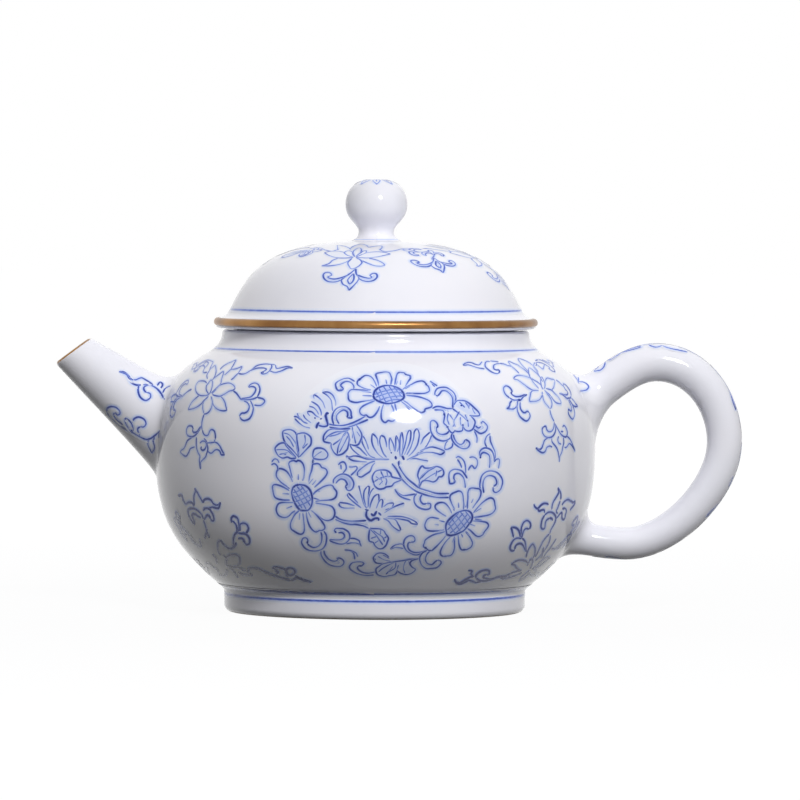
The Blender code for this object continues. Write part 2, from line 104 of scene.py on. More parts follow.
def glazeShine(tree, shader, place):
    # the clear glaze: a wet shine that waves slowly, as fired glaze does
    addBump(tree, shader, addNoise(tree, place, 110.0, 1.0), 0.05, 0.0006)
    breath = addNoise(tree, place, 260.0, 3.0)
    tree.links.new(addRange(tree, breath, 0.06, 0.12), shader.inputs["Roughness"])
    shader.inputs["IOR"].default_value = 1.5
    shader.inputs["Specular IOR Level"].default_value = 0.5


def glazeTint(tree, place):
    # cool white with a faint blue where the glaze lies thicker
    cloud = addNoise(tree, place, 45.0, 4.0, Roughness=0.55)
    return addRamp(tree, cloud, ((0.3, "#e9e9f2"), (0.55, "#eeeef6"), (0.75, "#f0eff6")))


def makePorcelain():
    # glazed porcelain: cool white, glassy, slightly uneven
    made, tree, shader = newMaterial("glazed_porcelain")
    place = addNode(tree, "ShaderNodeTexCoord").outputs["Object"]
    tree.links.new(glazeTint(tree, place), shader.inputs["Base Color"])
    glazeShine(tree, shader, place)
    return made


def makeFootPorcelain():
    # glazed porcelain whose standing edge is wiped clean: a dry, creamy ring underneath
    made, tree, shader = newMaterial("foot_porcelain")
    place = addNode(tree, "ShaderNodeTexCoord").outputs["Object"]
    height = addNode(tree, "ShaderNodeSeparateXYZ", {"Vector": place}).outputs["Z"]
    grain = addNoise(tree, place, 1500.0, 3.0)
    level = addMath(tree, "ADD", height, addMath(tree, "MULTIPLY", grain, 0.0004))
    wiped = {"Value": level, "From Min": 0.0004, "From Max": 0.0006, "To Min": 1.0, "To Max": 0.0}
    bare = addNode(tree, "ShaderNodeMapRange", wiped).outputs["Result"]
    biscuit = addRamp(tree, grain, ((0.3, "#d9cfc0"), (0.7, "#e8e0d3")))
    glazeShine(tree, shader, place)
    blend = {"Factor": bare, 6: glazeTint(tree, place), 7: biscuit}
    colour = addNode(tree, "ShaderNodeMix", blend, data_type="RGBA")
    tree.links.new(colour.outputs[2], shader.inputs["Base Color"])
    shine = shader.inputs["Roughness"].links[0].from_socket
    dry = addNode(tree, "ShaderNodeMix", {"Factor": bare, 2: shine, 3: 0.75}, data_type="FLOAT")
    tree.links.new(dry.outputs[0], shader.inputs["Roughness"])
    return made


def makeCobalt():
    # underglaze cobalt: soft-edged lines, dark where the brush stops, with the glaze's own shine
    made, tree, shader = newMaterial("underglaze_cobalt")
    place = addNode(tree, "ShaderNodeTexCoord").outputs["Object"]
    ink = addNode(tree, "ShaderNodeAttribute", attribute_name="ink").outputs["Fac"]
    pool = addNoise(tree, place, 700.0, 3.0)
    loaded = addMath(tree, "MULTIPLY", ink, addRange(tree, pool, 0.66, 1.3))
    stops = ((0.0, "#eeeff7"), (0.14, "#d0daf6"), (0.38, "#8aa3ea"), (0.68, "#3f5dc8"), (1.0, "#152a88"))
    tree.links.new(addRamp(tree, loaded, stops), shader.inputs["Base Color"])
    glazeShine(tree, shader, place)
    return made


def makeGilding():
    # fired gold: brownish, satin, rubbed thin in places
    made, tree, shader = newMaterial("fired_gilding")
    place = addNode(tree, "ShaderNodeTexCoord").outputs["Object"]
    wear = addNoise(tree, place, 160.0, 4.0, Roughness=0.5)
    colour = addRamp(tree, wear, ((0.25, "#7c5633"), (0.5, "#946c41"), (0.75, "#ab8152")))
    tree.links.new(colour, shader.inputs["Base Color"])
    tree.links.new(addRange(tree, wear, 0.26, 0.36), shader.inputs["Roughness"])
    addBump(tree, shader, addNoise(tree, place, 2500.0, 2.0), 0.12, 0.0002)
    shader.inputs["Metallic"].default_value = 1.0
    return made


porcelain = makePorcelain()
footPorcelain = makeFootPorcelain()
cobalt = makeCobalt()
gilding = makeGilding()
print("materials made")


def curve(start, startPull, endPull, end, steps):
    share = np.linspace(0, 1, steps, endpoint=False)[:, None]
    corners = [np.array(corner, float) for corner in (start, startPull, endPull, end)]
    weights = ((1 - share) ** 3, 3 * share * (1 - share) ** 2, 3 * share**2 * (1 - share), share**3)
    return sum(weight * corner for weight, corner in zip(weights, corners))


circlePull = 0.5523  # makes one curve a quarter of a circle


def quarter(start, corner, end, steps):
    start, corner, end = (np.array(point, float) for point in (start, corner, end))
    return curve(start, start + circlePull * (corner - start), end + circlePull * (corner - end), end, steps)


def aside(outline, distance):
    along = np.gradient(outline, axis=0)
    normals = np.column_stack((-along[:, 1], along[:, 0]))
    return outline + distance * normals / np.linalg.norm(normals, axis=1)[:, None]


def spun(profile, steps, middle=axisX):
    shape = bmesh.new()
    points = [bmesh.ops.create_vert(shape, co=(middle + r * mm, 0, z * mm))["vert"][0] for r, z in profile]
    edges = [shape.edges.new(pair) for pair in zip(points, points[1:])]
    bmesh.ops.spin(
        shape,
        geom=points + edges,
        cent=(middle, 0, 0),
        axis=(0, 0, 1),
        angle=2 * math.pi,
        steps=steps,
        use_merge=True,
    )
    bmesh.ops.remove_doubles(shape, verts=shape.verts, dist=1e-6)
    bmesh.ops.recalc_face_normals(shape, faces=shape.faces)
    return shape


def lofted(rings, closed=True):
    # a skin through rings of points: the last is joined to the first, or each end gets a face
    shape = bmesh.new()
    loops = [[shape.verts.new(point) for point in ring] for ring in rings]
    for near, far in zip(loops, loops[1:] + loops[:1] if closed else loops[1:]):
        for at in range(len(near)):
            shape.faces.new((near[at - 1], near[at], far[at], far[at - 1]))
    if not closed:
        shape.faces.new(loops[0])
        shape.faces.new(loops[-1])
    bmesh.ops.recalc_face_normals(shape, faces=shape.faces)
    return shape


def finishPiece(name, shape, material, body, nodes=(), sharp=38):
    mesh = bpy.data.meshes.new(name)
    shape.to_mesh(mesh)
    shape.free()
    piece = bpy.data.objects.new(name, mesh)
    bpy.context.scene.collection.objects.link(piece)
    mesh.materials.append(material)
    mesh.shade_smooth()
    mesh.set_sharp_from_angle(angle=math.radians(sharp))
    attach(piece, body)
    if nodes:
        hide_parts(*nodes)
    return piece


def cutBy(piece, cutter, operation="DIFFERENCE"):
    # carries a Boolean out at once, so that no modifier is left
    boolean = piece.modifiers.new("cut", "BOOLEAN")
    boolean.operation = operation
    boolean.object = cutter
    boolean.solver = "EXACT"
    bpy.context.view_layer.update()
    made = bpy.data.meshes.new_from_object(piece.evaluated_get(bpy.context.evaluated_depsgraph_get()))
    piece.modifiers.clear()
    old = piece.data
    piece.data = made
    made.name = old.name
    bpy.data.meshes.remove(old)
    bpy.data.objects.remove(cutter, do_unlink=True)


def scratchObject(shape):
    mesh = bpy.data.meshes.new("scratch")
    shape.to_mesh(mesh)
    shape.free()
    made = bpy.data.objects.new("scratch", mesh)
    bpy.context.scene.collection.objects.link(made)
    return made


# the pot's body, in millimetres from its axis and the table; a pull is the length of a curve's handle
pot = {
    "bellyRadius": 48.4,
    "bellyHeight": 36.0,
    "bellyUpPull": 9.9,
    "bellyDownPull": 16.7,
    "height": 62.0,
    "neckRadius": 33.8,
    "neckWall": 2.9,
    "neckPull": 1.9,
    "shoulder": (36.5, 57.1),
    "shoulderSlope": math.radians(28.7),
    "shoulderUpPull": 1.0,
    "shoulderDownPull": 10.2,
    "base": (33.6, 5.3),
    "baseSlope": math.radians(41.6),
    "basePull": 13.5,
    "wall": 2.3,
    "floor": 8.0,
    "rimEdge": 0.9,
    "boreEdge": 0.7,
    "footRadius": 33.1,
    "footBore": 28.4,
    "footEdge": 1.6,
    "footBoreEdge": 1.0,
    "coveTop": 6.5,
    "coveFoot": 4.5,
    "coveUpPull": 1.1,
    "coveDownPull": 0.9,
    "sides": 192,
}


def bodyOutline(steps):
    shoulder, base = np.array(pot["shoulder"]), np.array(pot["base"])
    belly = np.array((pot["bellyRadius"], pot["bellyHeight"]))
    shoulderWay = np.array((math.cos(pot["shoulderSlope"]), -math.sin(pot["shoulderSlope"])))
    baseWay = np.array((math.cos(pot["baseSlope"]), math.sin(pot["baseSlope"])))
    shoulderPull = shoulder + pot["shoulderDownPull"] * shoulderWay
    upper = curve(shoulder, shoulderPull, belly + (0, pot["bellyUpPull"]), belly, steps)
    lower = curve(belly, belly - (0, pot["bellyDownPull"]), base + pot["basePull"] * baseWay, base, steps)
    lower = lower[lower[:, 1] > pot["coveTop"]]
    foot = np.array((pot["footRadius"], pot["coveFoot"]))
    covePull = lower[-1] - pot["coveUpPull"] * baseWay
    cove = curve(lower[-1], covePull, foot + (0, pot["coveDownPull"]), foot, 8)
    return np.vstack((upper, lower, cove[1:], foot))


def neckOutline(steps):
    top = np.array((pot["neckRadius"], pot["height"] - pot["rimEdge"]))
    shoulder = np.array(pot["shoulder"])
    shoulderWay = np.array((math.cos(pot["shoulderSlope"]), -math.sin(pot["shoulderSlope"])))
    shoulderPull = shoulder - pot["shoulderUpPull"] * shoulderWay
    return curve(top, top - (0, pot["neckPull"]), shoulderPull, shoulder, steps)


bodySide = np.vstack((neckOutline(60), bodyOutline(240)))[::-1]  # from the base up


def bodyRadius(height):
    return np.interp(height, bodySide[:, 1], bodySide[:, 0])


def ontoBody(point, depth=0.0):
    level = np.array((point[0], point[1], 0))
    return level / np.linalg.norm(level) * (bodyRadius(point[2]) - depth) + (0, 0, point[2])


def bodyNormal(point):
    step = 0.4
    lean = (bodyRadius(point[2] + step) - bodyRadius(point[2] - step)) / (2 * step)
    level = math.hypot(point[0], point[1])
    normal = np.array((point[0] / level, point[1] / level, -lean))
    return normal / np.linalg.norm(normal)


def meetBody(start, way, depth=0.0):
    near, far = 0.0, 50.0
    for _ in range(36):
        middle = (near + far) / 2
        point = start + middle * way
        outside = math.hypot(point[0], point[1]) > bodyRadius(point[2]) - depth
        near, far = (middle, far) if outside else (near, middle)
    return start + near * way


def flare(ring, ways, widths, steps, sink):
    # rings that turn a tube's end out along the wall, so that the root runs into it without a seam
    curves = []
    middle = ring.mean(axis=0)
    for point, way, width in zip(ring, ways, np.broadcast_to(widths, len(ring))):
        hit = meetBody(point, way)
        normal = bodyNormal(hit)
        out = point - middle
        out = out - normal * (out @ normal)
        out = out / np.linalg.norm(out)
        end = ontoBody(hit + width * out)
        tangent = end - hit
        tangent = tangent / np.linalg.norm(tangent)
        pull = min(0.35 * width, 0.5 * np.linalg.norm(hit - point))
        line = curve(point, hit - pull * way, hit + pull * tangent, end, steps)
        curves.append(np.vstack((line[1:], end, ontoBody(end, sink))))
    return list(np.array(curves).swapaxes(0, 1))


def toWorld(points):
    return np.asarray(points) * mm + (axisX, 0, 0)


def makeBody():
    rim, crown, floor = pot["neckRadius"], pot["height"], pot["floor"]
    bore = rim - pot["neckWall"]
    rimEdge, boreEdge, under = pot["rimEdge"], pot["boreEdge"], pot["base"][1]
    wall = aside(bodyOutline(40), -pot["wall"])
    inside = wall[wall[:, 1] > floor + 3]
    low, high = inside[-1], inside[0]
    toe = curve(low, low - (1.6, 2.2), (low[0] - 5, floor), (low[0] - 9, floor), 10)  # rounds into the floor
    throat = curve(high, high + (-2.2, 0.9), (bore, 56.0), (bore, 58.5), 8)  # turns up into the neck
    outer = quarter((rim - rimEdge, crown), (rim, crown), (rim, crown - rimEdge), 6)
    inner = quarter((bore, crown - boreEdge), (bore, crown), (bore + boreEdge, crown), 6)
    profile = np.vstack(
        (
            (0, floor),
            toe[::-1],
            inside[1:][::-1],
            throat,
            inner,
            (bore + boreEdge, crown),
            outer,
            neckOutline(12),
            bodyOutline(44),
            (pot["footBore"], pot["coveFoot"]),
            (pot["footBore"], under),
            (0, under),
        )
    )
    return finishPiece("pot_body_glazed", spun(profile, pot["sides"]), porcelain, "pot", ["pot_body"])


def makeFoot():
    outer, inner, top = pot["footRadius"], pot["footBore"], pot["coveFoot"]
    edge, boreEdge = pot["footEdge"], pot["footBoreEdge"]
    profile = np.vstack(
        (
            (outer, top),
            quarter((outer, edge), (outer, 0), (outer - edge, 0), 10),
            (outer - edge, 0),
            quarter((inner + boreEdge, 0), (inner, 0), (inner, boreEdge), 6),
            (inner, boreEdge),
            (inner, top),
            (outer, top),
        )
    )
    return finishPiece("foot_ring_glazed", spun(profile, pot["sides"]), footPorcelain, "pot", ["foot_ring"])


potBody = makeBody()
makeFoot()
print("body and foot made")

spout = {
    "mouth": np.array((-66.8, 0, 57.0)),
    "slope": math.radians(38),
    "spread": math.radians(8.75),
    "radius": 4.6,
    "tilt": math.radians(53.4),
    "bore": 3.2,
    "boreSpread": math.radians(7.8),
    "flare": 4.2,
    "underFlare": 1.8,
    "sides": 72,
}
rootSink = 0.9  # how far the last ring of a root lies inside the wall
spoutWay = np.array((math.cos(spout["slope"]), 0, -math.sin(spout["slope"])))
spoutRise = np.array((math.sin(spout["slope"]), 0, math.cos(spout["slope"])))
sideways = np.array((0.0, 1.0, 0.0))
mouthNormal = np.array((-math.cos(spout["tilt"]), 0, math.sin(spout["tilt"])))


def spoutOuts():
    angles = np.arange(spout["sides"]) * 2 * math.pi / spout["sides"]
    return [math.cos(angle) * spoutRise + math.sin(angle) * sideways for angle in angles]


def mouthRing(radius, spread, setback):
    ring = []
    for out in spoutOuts():
        way = spoutWay + math.tan(spread) * out
        start = radius * out + setback * mouthNormal
        travel = -(start @ mouthNormal) / (way @ mouthNormal)
        ring.append(spout["mouth"] - setback * mouthNormal + start + travel * way)
    return np.array(ring)


def axisRing(radius, spread, distance):
    size = radius + distance * math.tan(spread)
    return np.array([spout["mouth"] + distance * spoutWay + size * out for out in spoutOuts()])


def spoutTravel(depth):
    return np.linalg.norm(meetBody(spout["mouth"], spoutWay, depth) - spout["mouth"])


def between(first, last, count):
    return [first + (last - first) * share for share in np.linspace(0, 1, count)]


# the rounded lip, and the gold on it: in from the outer edge, and back from the mouth
lipEdge = ((1.15, 0.22), (0.95, 0.08), (0.7, 0.02), (0.42, 0.12), (0.18, 0.36), (0.05, 0.72), (0.0, 1.2))
lipGold = ((0.2, 0.42), (0.2, 0.28), (0.42, 0.06), (0.7, -0.05), (1.0, 0.0), (1.2, 0.2), (0.8, 0.45))


def makeSpout():
    neck = axisRing(spout["radius"], spout["spread"], spoutTravel(0) - 2 * spout["flare"])
    ways = [spoutWay + math.tan(spout["spread"]) * out for out in spoutOuts()]
    ways = [way / np.linalg.norm(way) for way in ways]
    lip = [mouthRing(spout["radius"] - inset, spout["spread"], setback) for inset, setback in lipEdge]
    high, low = spout["flare"], spout["underFlare"]
    widths = [low + (high - low) * (1 + out @ spoutRise) / 2 for out in spoutOuts()]
    outside = lip + between(lip[-1], neck, 14)[1:] + flare(neck, ways, widths, 14, rootSink)
    boreEnd = axisRing(spout["bore"], spout["boreSpread"], spoutTravel(pot["wall"]) - 0.4)
    inside = between(boreEnd, mouthRing(spout["bore"], spout["boreSpread"], 0.5), 10)
    rings = [toWorld(ring) for ring in inside + outside]
    return finishPiece("spout_glazed", lofted(rings), porcelain, "pot", ["spout"], sharp=50)


def makeSpoutGilding():
    # a thin worn line of gold along the crest of the rounded lip
    section = [(spout["radius"] - inset, setback) for inset, setback in lipGold]
    rings = [toWorld(mouthRing(radius, spout["spread"], setback)) for radius, setback in section]
    return finishPiece("spout_lip_gold", lofted(rings), gilding, "pot", ["spout_lip_gilding"])


def openWall():
    # the cutter is a little wider than the bore, and starts and ends clear of the wall
    radius, spread = spout["bore"] + 0.1, spout["boreSpread"]
    near = axisRing(radius, spread, spoutTravel(0) - 4)
    far = axisRing(radius, spread, spoutTravel(pot["wall"]) + 5)
    cutBy(potBody, scratchObject(lofted([toWorld(near), toWorld(far)], closed=False)))


spoutPiece = makeSpout()
makeSpoutGilding()
openWall()
print("spout made")

handle = {
    "radii": (4.3, 4.2, 3.85, 3.55, 3.5),
    "pulls": (0.33, 0.39, 0.32, 0.36),
    "roots": (45.5, 17.0),  # heights of the two ends
    "rootDepth": 2.8,
    "bends": ((13.4, 55.1), (28.4, 37.5), (6.8, 15.2)),  # out from the belly, and up
    "rise": math.radians(31),
    "dip": math.radians(9),
    "steps": 22,
    "sides": 56,
    "upperFillet": 4.4,
    "upperSpread": 4.8,
    "upperInner": 3.6,  # wider on the side of the loop
    "lowerFillet": 3.2,
    "lowerSpread": 3.2,
    "lowerInner": 1.2,
}


def handleKnots():
    upper, lower = (ontoBody(np.array((1.0, 0, height)), handle["rootDepth"]) for height in handle["roots"])
    bends = [(pot["bellyRadius"] + out, 0, up) for out, up in handle["bends"]]
    rise, dip = handle["rise"], handle["dip"]
    ways = [(math.cos(rise), 0, math.sin(rise)), (1, 0, 0), (0, 0, -1), (-1, 0, 0)]
    ways.append((-math.cos(dip), 0, math.sin(dip)))
    knots = zip((upper, *bends, lower), ways)
    return [(np.array(place, float), np.array(way, float)) for place, way in knots]


def handleRings():
    knots = handleKnots()
    points, radii = [], []
    for at, ((start, way), (end, endWay)) in enumerate(zip(knots, knots[1:])):
        reach = handle["pulls"][at] * np.linalg.norm(end - start)
        points.append(curve(start, start + reach * way, end - reach * endWay, end, handle["steps"]))
        share = np.linspace(0, 1, handle["steps"], endpoint=False)
        ease = share * share * (3 - 2 * share)
        radii += list(handle["radii"][at] + (handle["radii"][at + 1] - handle["radii"][at]) * ease)
    points = np.vstack((*points, knots[-1][0]))
    radii.append(handle["radii"][-1])
    ways = np.gradient(points, axis=0)
    ways = ways / np.linalg.norm(ways, axis=1)[:, None]
    angles = np.arange(handle["sides"]) * 2 * math.pi / handle["sides"]
    rings = []
    for point, way, radius in zip(points, ways, radii):
        out = np.cross(way, sideways)
        rings.append(point + radius * np.array([math.cos(a) * out + math.sin(a) * sideways for a in angles]))
    return rings, ways


def makeHandle():
    rings, ways = handleRings()
    gaps = np.array([(np.hypot(ring[:, 0], ring[:, 1]) - bodyRadius(ring[:, 2])).min() for ring in rings])
    first = int(np.argmax(gaps > handle["upperFillet"]))
    last = len(gaps) - 1 - int(np.argmax(gaps[::-1] > handle["lowerFillet"]))
    sides = handle["sides"]
    inner = 0.5 - 0.5 * np.cos(np.arange(sides) * 2 * math.pi / sides)  # 0 on the outer ridge, 1 inside
    upperWidths = handle["upperSpread"] + handle["upperInner"] * inner
    lowerWidths = handle["lowerSpread"] + handle["lowerInner"] * inner
    upper = flare(rings[first], [-ways[first]] * sides, upperWidths, 18, rootSink)[::-1]
    lower = flare(rings[last], [ways[last]] * sides, lowerWidths, 16, rootSink)
    skin = upper + rings[first : last + 1] + lower
    shape = lofted([toWorld(ring) for ring in skin], closed=False)
    piece = finishPiece("handle_glazed", shape, porcelain, "pot", ["handle"], sharp=60)
    return piece, rings[first : last + 1]


handlePiece, handleSkin = makeHandle()
print("handle made")

strainer = {
    "radius": 10.5,
    "rise": 6.0,
    "wall": 1.4,
    "sunk": math.radians(7),  # the dome's edge runs on into the wall
    "hole": 0.9,
    "pin": 4.2,
    "turn": math.radians(4),
    "rings": ((0, 1), (18, 6), (36, 12)),  # degrees from the dome's top, and holes
}


def makeStrainer():
    seat = meetBody(spout["mouth"], spoutWay, pot["wall"])
    inwards = Vector(-bodyNormal(ontoBody(seat)))
    outer, inner = strainer["radius"], strainer["radius"] - strainer["wall"]
    edge = math.acos((outer - strainer["rise"]) / outer) + strainer["sunk"]
    angles = np.linspace(0, edge, 24)
    dome = np.column_stack((np.sin(angles), np.cos(angles)))
    shape = spun(np.vstack((outer * dome, inner * dome[::-1])), 64, 0.0)
    place = inwards.to_track_quat("Z", "Y").to_matrix().to_4x4()
    place.translation = Vector(toWorld(seat)) - (outer - strainer["rise"]) * mm * inwards
    bmesh.ops.transform(shape, matrix=place, verts=shape.verts)
    bmesh.ops.recalc_face_normals(shape, faces=shape.faces)
    piece = finishPiece("strainer_glazed", shape, porcelain, "pot", ["spout_strainer"])
    pins = bmesh.new()
    for tilt, count in strainer["rings"]:
        for at in range(count):
            turn = strainer["turn"] + 2 * math.pi * at / count
            lean = math.radians(tilt)
            way = Vector((math.sin(lean) * math.cos(turn), math.sin(lean) * math.sin(turn), math.cos(lean)))
            pin = way.to_track_quat("Z", "Y").to_matrix().to_4x4()
            pin.translation = (outer - strainer["wall"] / 2) * mm * way
            size, depth = strainer["hole"] * mm, strainer["pin"] * mm
            bmesh.ops.create_cone(
                pins,
                cap_ends=True,
                segments=24,
                radius1=size,
                radius2=size,
                depth=depth,
                matrix=place @ pin,
            )
    cutBy(piece, scratchObject(pins))
    return piece


makeStrainer()
print("strainer made")

lid = {
    "seat": 62.3,
    "rim": 35.1,
    "rimThickness": 2.2,
    "edge": 0.5,
    "domeRadius": 32.1,
    "domeFoot": 4.0,
    "domeHeight": 19.3,
    "lean": math.radians(23.7),
    "topPull": 20.6,
    "footPull": 11.8,
    "wall": 2.2,
    "skirt": 30.4,
    "skirtDrop": 8,
    "skirtTurn": 7.3,
    "vent": 1.0,
}


def domeOutline(steps):
    # from the top down to the dome's foot
    foot = np.array((lid["domeRadius"], lid["domeFoot"]))
    footWay = np.array((-math.sin(lid["lean"]), math.cos(lid["lean"])))
    top = lid["domeHeight"]
    dome = curve((0, top), (lid["topPull"], top), foot + lid["footPull"] * footWay, foot, steps)
    return np.vstack((dome, foot)) + (0, lid["seat"])


def lidCove(steps):
    # the short hollow between the dome's foot and the rim
    foot = np.array((lid["domeRadius"], lid["seat"] + lid["domeFoot"]))
    rimTop = np.array((lid["rim"] - lid["edge"], lid["seat"] + lid["rimThickness"]))
    footWay = np.array((math.sin(lid["lean"]), -math.cos(lid["lean"])))
    return np.vstack((curve(foot, foot + 1.0 * footWay, rimTop - (1.2, -0.2), rimTop, steps), rimTop))


def makeLid():
    dome, cove = domeOutline(60), lidCove(12)
    seat, rim, edge, skirt, wall = lid["seat"], lid["rim"], lid["edge"], lid["skirt"], lid["wall"]
    bottom, turn, vent, rimTop = seat - lid["skirtDrop"], seat - lid["skirtTurn"], lid["vent"], cove[-1]
    hollow = aside(dome, -wall)
    hollow = hollow[hollow[:, 0] < skirt - wall][::-1]
    profile = np.vstack(
        (
            (vent, dome[0, 1]),
            dome[3:-1],
            cove[:-1],
            quarter(rimTop, (rim, rimTop[1]), (rim, rimTop[1] - edge), 4),
            quarter((rim, seat + edge), (rim, seat), (rim - edge, seat), 4),
            (rim - edge, seat),
            quarter((skirt + edge, seat), (skirt, seat), (skirt, seat - edge), 4),
            quarter((skirt, turn), (skirt, bottom), (skirt - 0.9, bottom), 5),
            quarter((skirt - 1.1, bottom), (skirt - 2, bottom), (skirt - 2, turn), 5),
            hollow[:-3],
            (vent, hollow[-1, 1]),
            (vent, dome[0, 1]),
        )
    )
    return finishPiece("lid_glazed", spun(profile, pot["sides"]), porcelain, "lid", ["lid"])


# a gold line fired over the lid's edge: out from the rim, and up from the seat
rimGold = (
    (-0.5, 2.25), (0.02, 2.16), (0.34, 1.92), (0.5, 1.5),
    (0.49, 1.05), (0.3, 0.72), (-0.05, 0.58), (-0.6, 1.0),
)


def makeLidGilding():
    section = np.array(rimGold) + (lid["rim"], lid["seat"])
    shape = spun(np.vstack((section, section[:1])), pot["sides"])
    return finishPiece("lid_rim_gold", shape, gilding, "lid", ["lid_rim_gilding"], 70)


knob = {
    "seat": 81.9,
    "radius": 6.8,
    "height": 13.1,
    "middle": 7.5,
    "beadPull": 0.62,
    "waist": 3.9,
    "waistHeight": 1.6,
    "base": 5.1,
    "fillet": 1.2,
    "vent": 0.9,
    "ventEdge": 1.2,
}


def knobOutline(steps):
    # from the vent's edge over the bead and down to the flared base
    widest = np.array((knob["radius"], knob["middle"]))
    waist = np.array((knob["waist"], knob["waistHeight"]))
    crown = np.array((knob["ventEdge"], knob["height"]))
    over = knob["beadPull"] * (knob["radius"] - knob["ventEdge"])
    down = knob["beadPull"] * (crown[1] - widest[1])
    top = curve(crown, crown + (over, 0), widest + (0, down), widest, steps)
    under = curve(widest, widest - (0, 3.4), waist + (0, 1.8), waist, steps)
    dome = domeOutline(200)
    spread = knob["base"] + knob["fillet"]
    rest = np.interp(spread, dome[:, 0], dome[:, 1]) - knob["seat"] - 0.02  # the fillet dies out on the dome
    foot = curve(waist, waist - (0, 1.2), (spread - 1.6, rest + 0.1), (spread, rest), 14)
    return np.vstack((top, under, foot, (spread, rest))) + (0, knob["seat"])


def makeKnob():
    outline = knobOutline(26)
    seat, top = knob["seat"], knob["seat"] + knob["height"]
    hole, edge = knob["vent"], knob["ventEdge"]
    vent = [(hole, seat - 2.5), (hole, top - 0.35), (1.0, top - 0.1), (edge, top)]
    foot = (outline[-1, 0] - 0.6, outline[-1, 1] - 0.4)
    profile = np.vstack((outline, foot, (hole, seat - 1), vent))
    return finishPiece("knob_glazed", spun(profile, 96), porcelain, "lid", ["lid_knob"])


makeLid()
makeLidGilding()
makeKnob()
print("lid made")

# The painting is drawn as brush marks in millimetres on the developed wall: to the right, then up.


def smoothLine(points, step=0.3):
    points = np.array(points, float)
    ends = np.vstack((2 * points[0] - points[1], points, 2 * points[-1] - points[-2]))
    made = []
    for before, start, end, after in zip(ends, ends[1:], ends[2:], ends[3:]):
        count = max(2, int(np.linalg.norm(end - start) / step) + 1)
        t = np.arange(count)[:, None] / count
        bend = 2 * before - 5 * start + 4 * end - after
        twist = 3 * start - before - 3 * end + after
        made.append(0.5 * (2 * start + (end - before) * t + bend * t**2 + twist * t**3))
    return np.vstack((*made, points[-1]))


def stroke(points, tones=(0.9, 0.75, 0.9), width=0.5):
    return ["stroke", np.array(points, float), tones, width]


def wash(points, tone=0.16):
    return ["wash", np.array(points, float), (tone,), 0]


def moved(marks, dx, dy, flipX=1, turn=0.0, size=1.0):
    c, s = math.cos(math.radians(turn)), math.sin(math.radians(turn))
    made = []
    for kind, points, tones, width in marks:
        points = points * (flipX * size, size)
        points = points @ np.array(((c, s), (-s, c))) + (dx, dy)
        made.append([kind, points, tones, width])
    return made


def sideOffsets(line):
    along = np.gradient(line, axis=0)
    along = along / np.maximum(np.linalg.norm(along, axis=1), 1e-9)[:, None]
    return np.column_stack((-along[:, 1], along[:, 0]))


def leaf(base, tip, half, veined=True):
    # a round leaf closed at its tip, with a lengthwise vein, or three
    base, tip = np.array(base, float), np.array(tip, float)
    way = tip - base
    out = np.array((-way[1], way[0])) / np.linalg.norm(way) * half
    shares = np.linspace(0, 1, 19)
    swell = np.sin(math.pi * shares**1.25) ** 0.6
    spine = base + shares[:, None] * way
    left, right = spine + swell[:, None] * out, spine - swell[:, None] * out
    marks = [wash(np.vstack((left[::2], right[::-2])))]
    marks.append(stroke(np.vstack((left[:-1], right[::-1])), (0.7, 0.85, 1.05, 0.85, 0.7)))
    marks.append(stroke(spine[:15:2], (0.85, 0.5), 0.4))
    for side in (-1, 1) if veined else ():
        vein = spine + side * 0.45 * swell[:, None] * out
        marks.append(stroke(vein[3:12:2], (0.4, 0.65, 0.35), 0.34))
    return marks


def lines(*rows, tones=(0.9, 0.75, 1.0), width=0.5):
    return [stroke(row, tones, width) for row in rows]


def halo(points, tones, width):
    return ["halo", np.array(points, float), tones, width]


def rows(*flat):
    return [np.array(row, float).reshape(-1, 2) for row in flat]


def spaced(line, count):
    steps = np.concatenate(((0,), np.cumsum(np.linalg.norm(np.diff(line, axis=0), axis=1))))
    return np.column_stack([np.interp(np.linspace(0, steps[-1], count), steps, line[:, at]) for at in (0, 1)])


def doubled(pairs, tones=(0.85, 0.72, 0.92)):
    # scrolls and stems drawn as two lines with a pale wash between them
    marks = []
    for outer, inner in pairs:
        outer, inner = rows(outer, inner)
        if np.linalg.norm(outer[-1] - inner[-1]) > np.linalg.norm(outer[-1] - inner[0]):
            inner = inner[::-1]
        first, second = spaced(outer, 16), spaced(inner, 16)
        gap = np.linalg.norm(first - second, axis=1).mean() * 0.22
        marks.append(halo((first + second) / 2, (0.16, 0.26, 0.3, 0.26), 1.5 * gap + 0.2))
        marks += lines(outer, inner, tones=tones)
    return marks


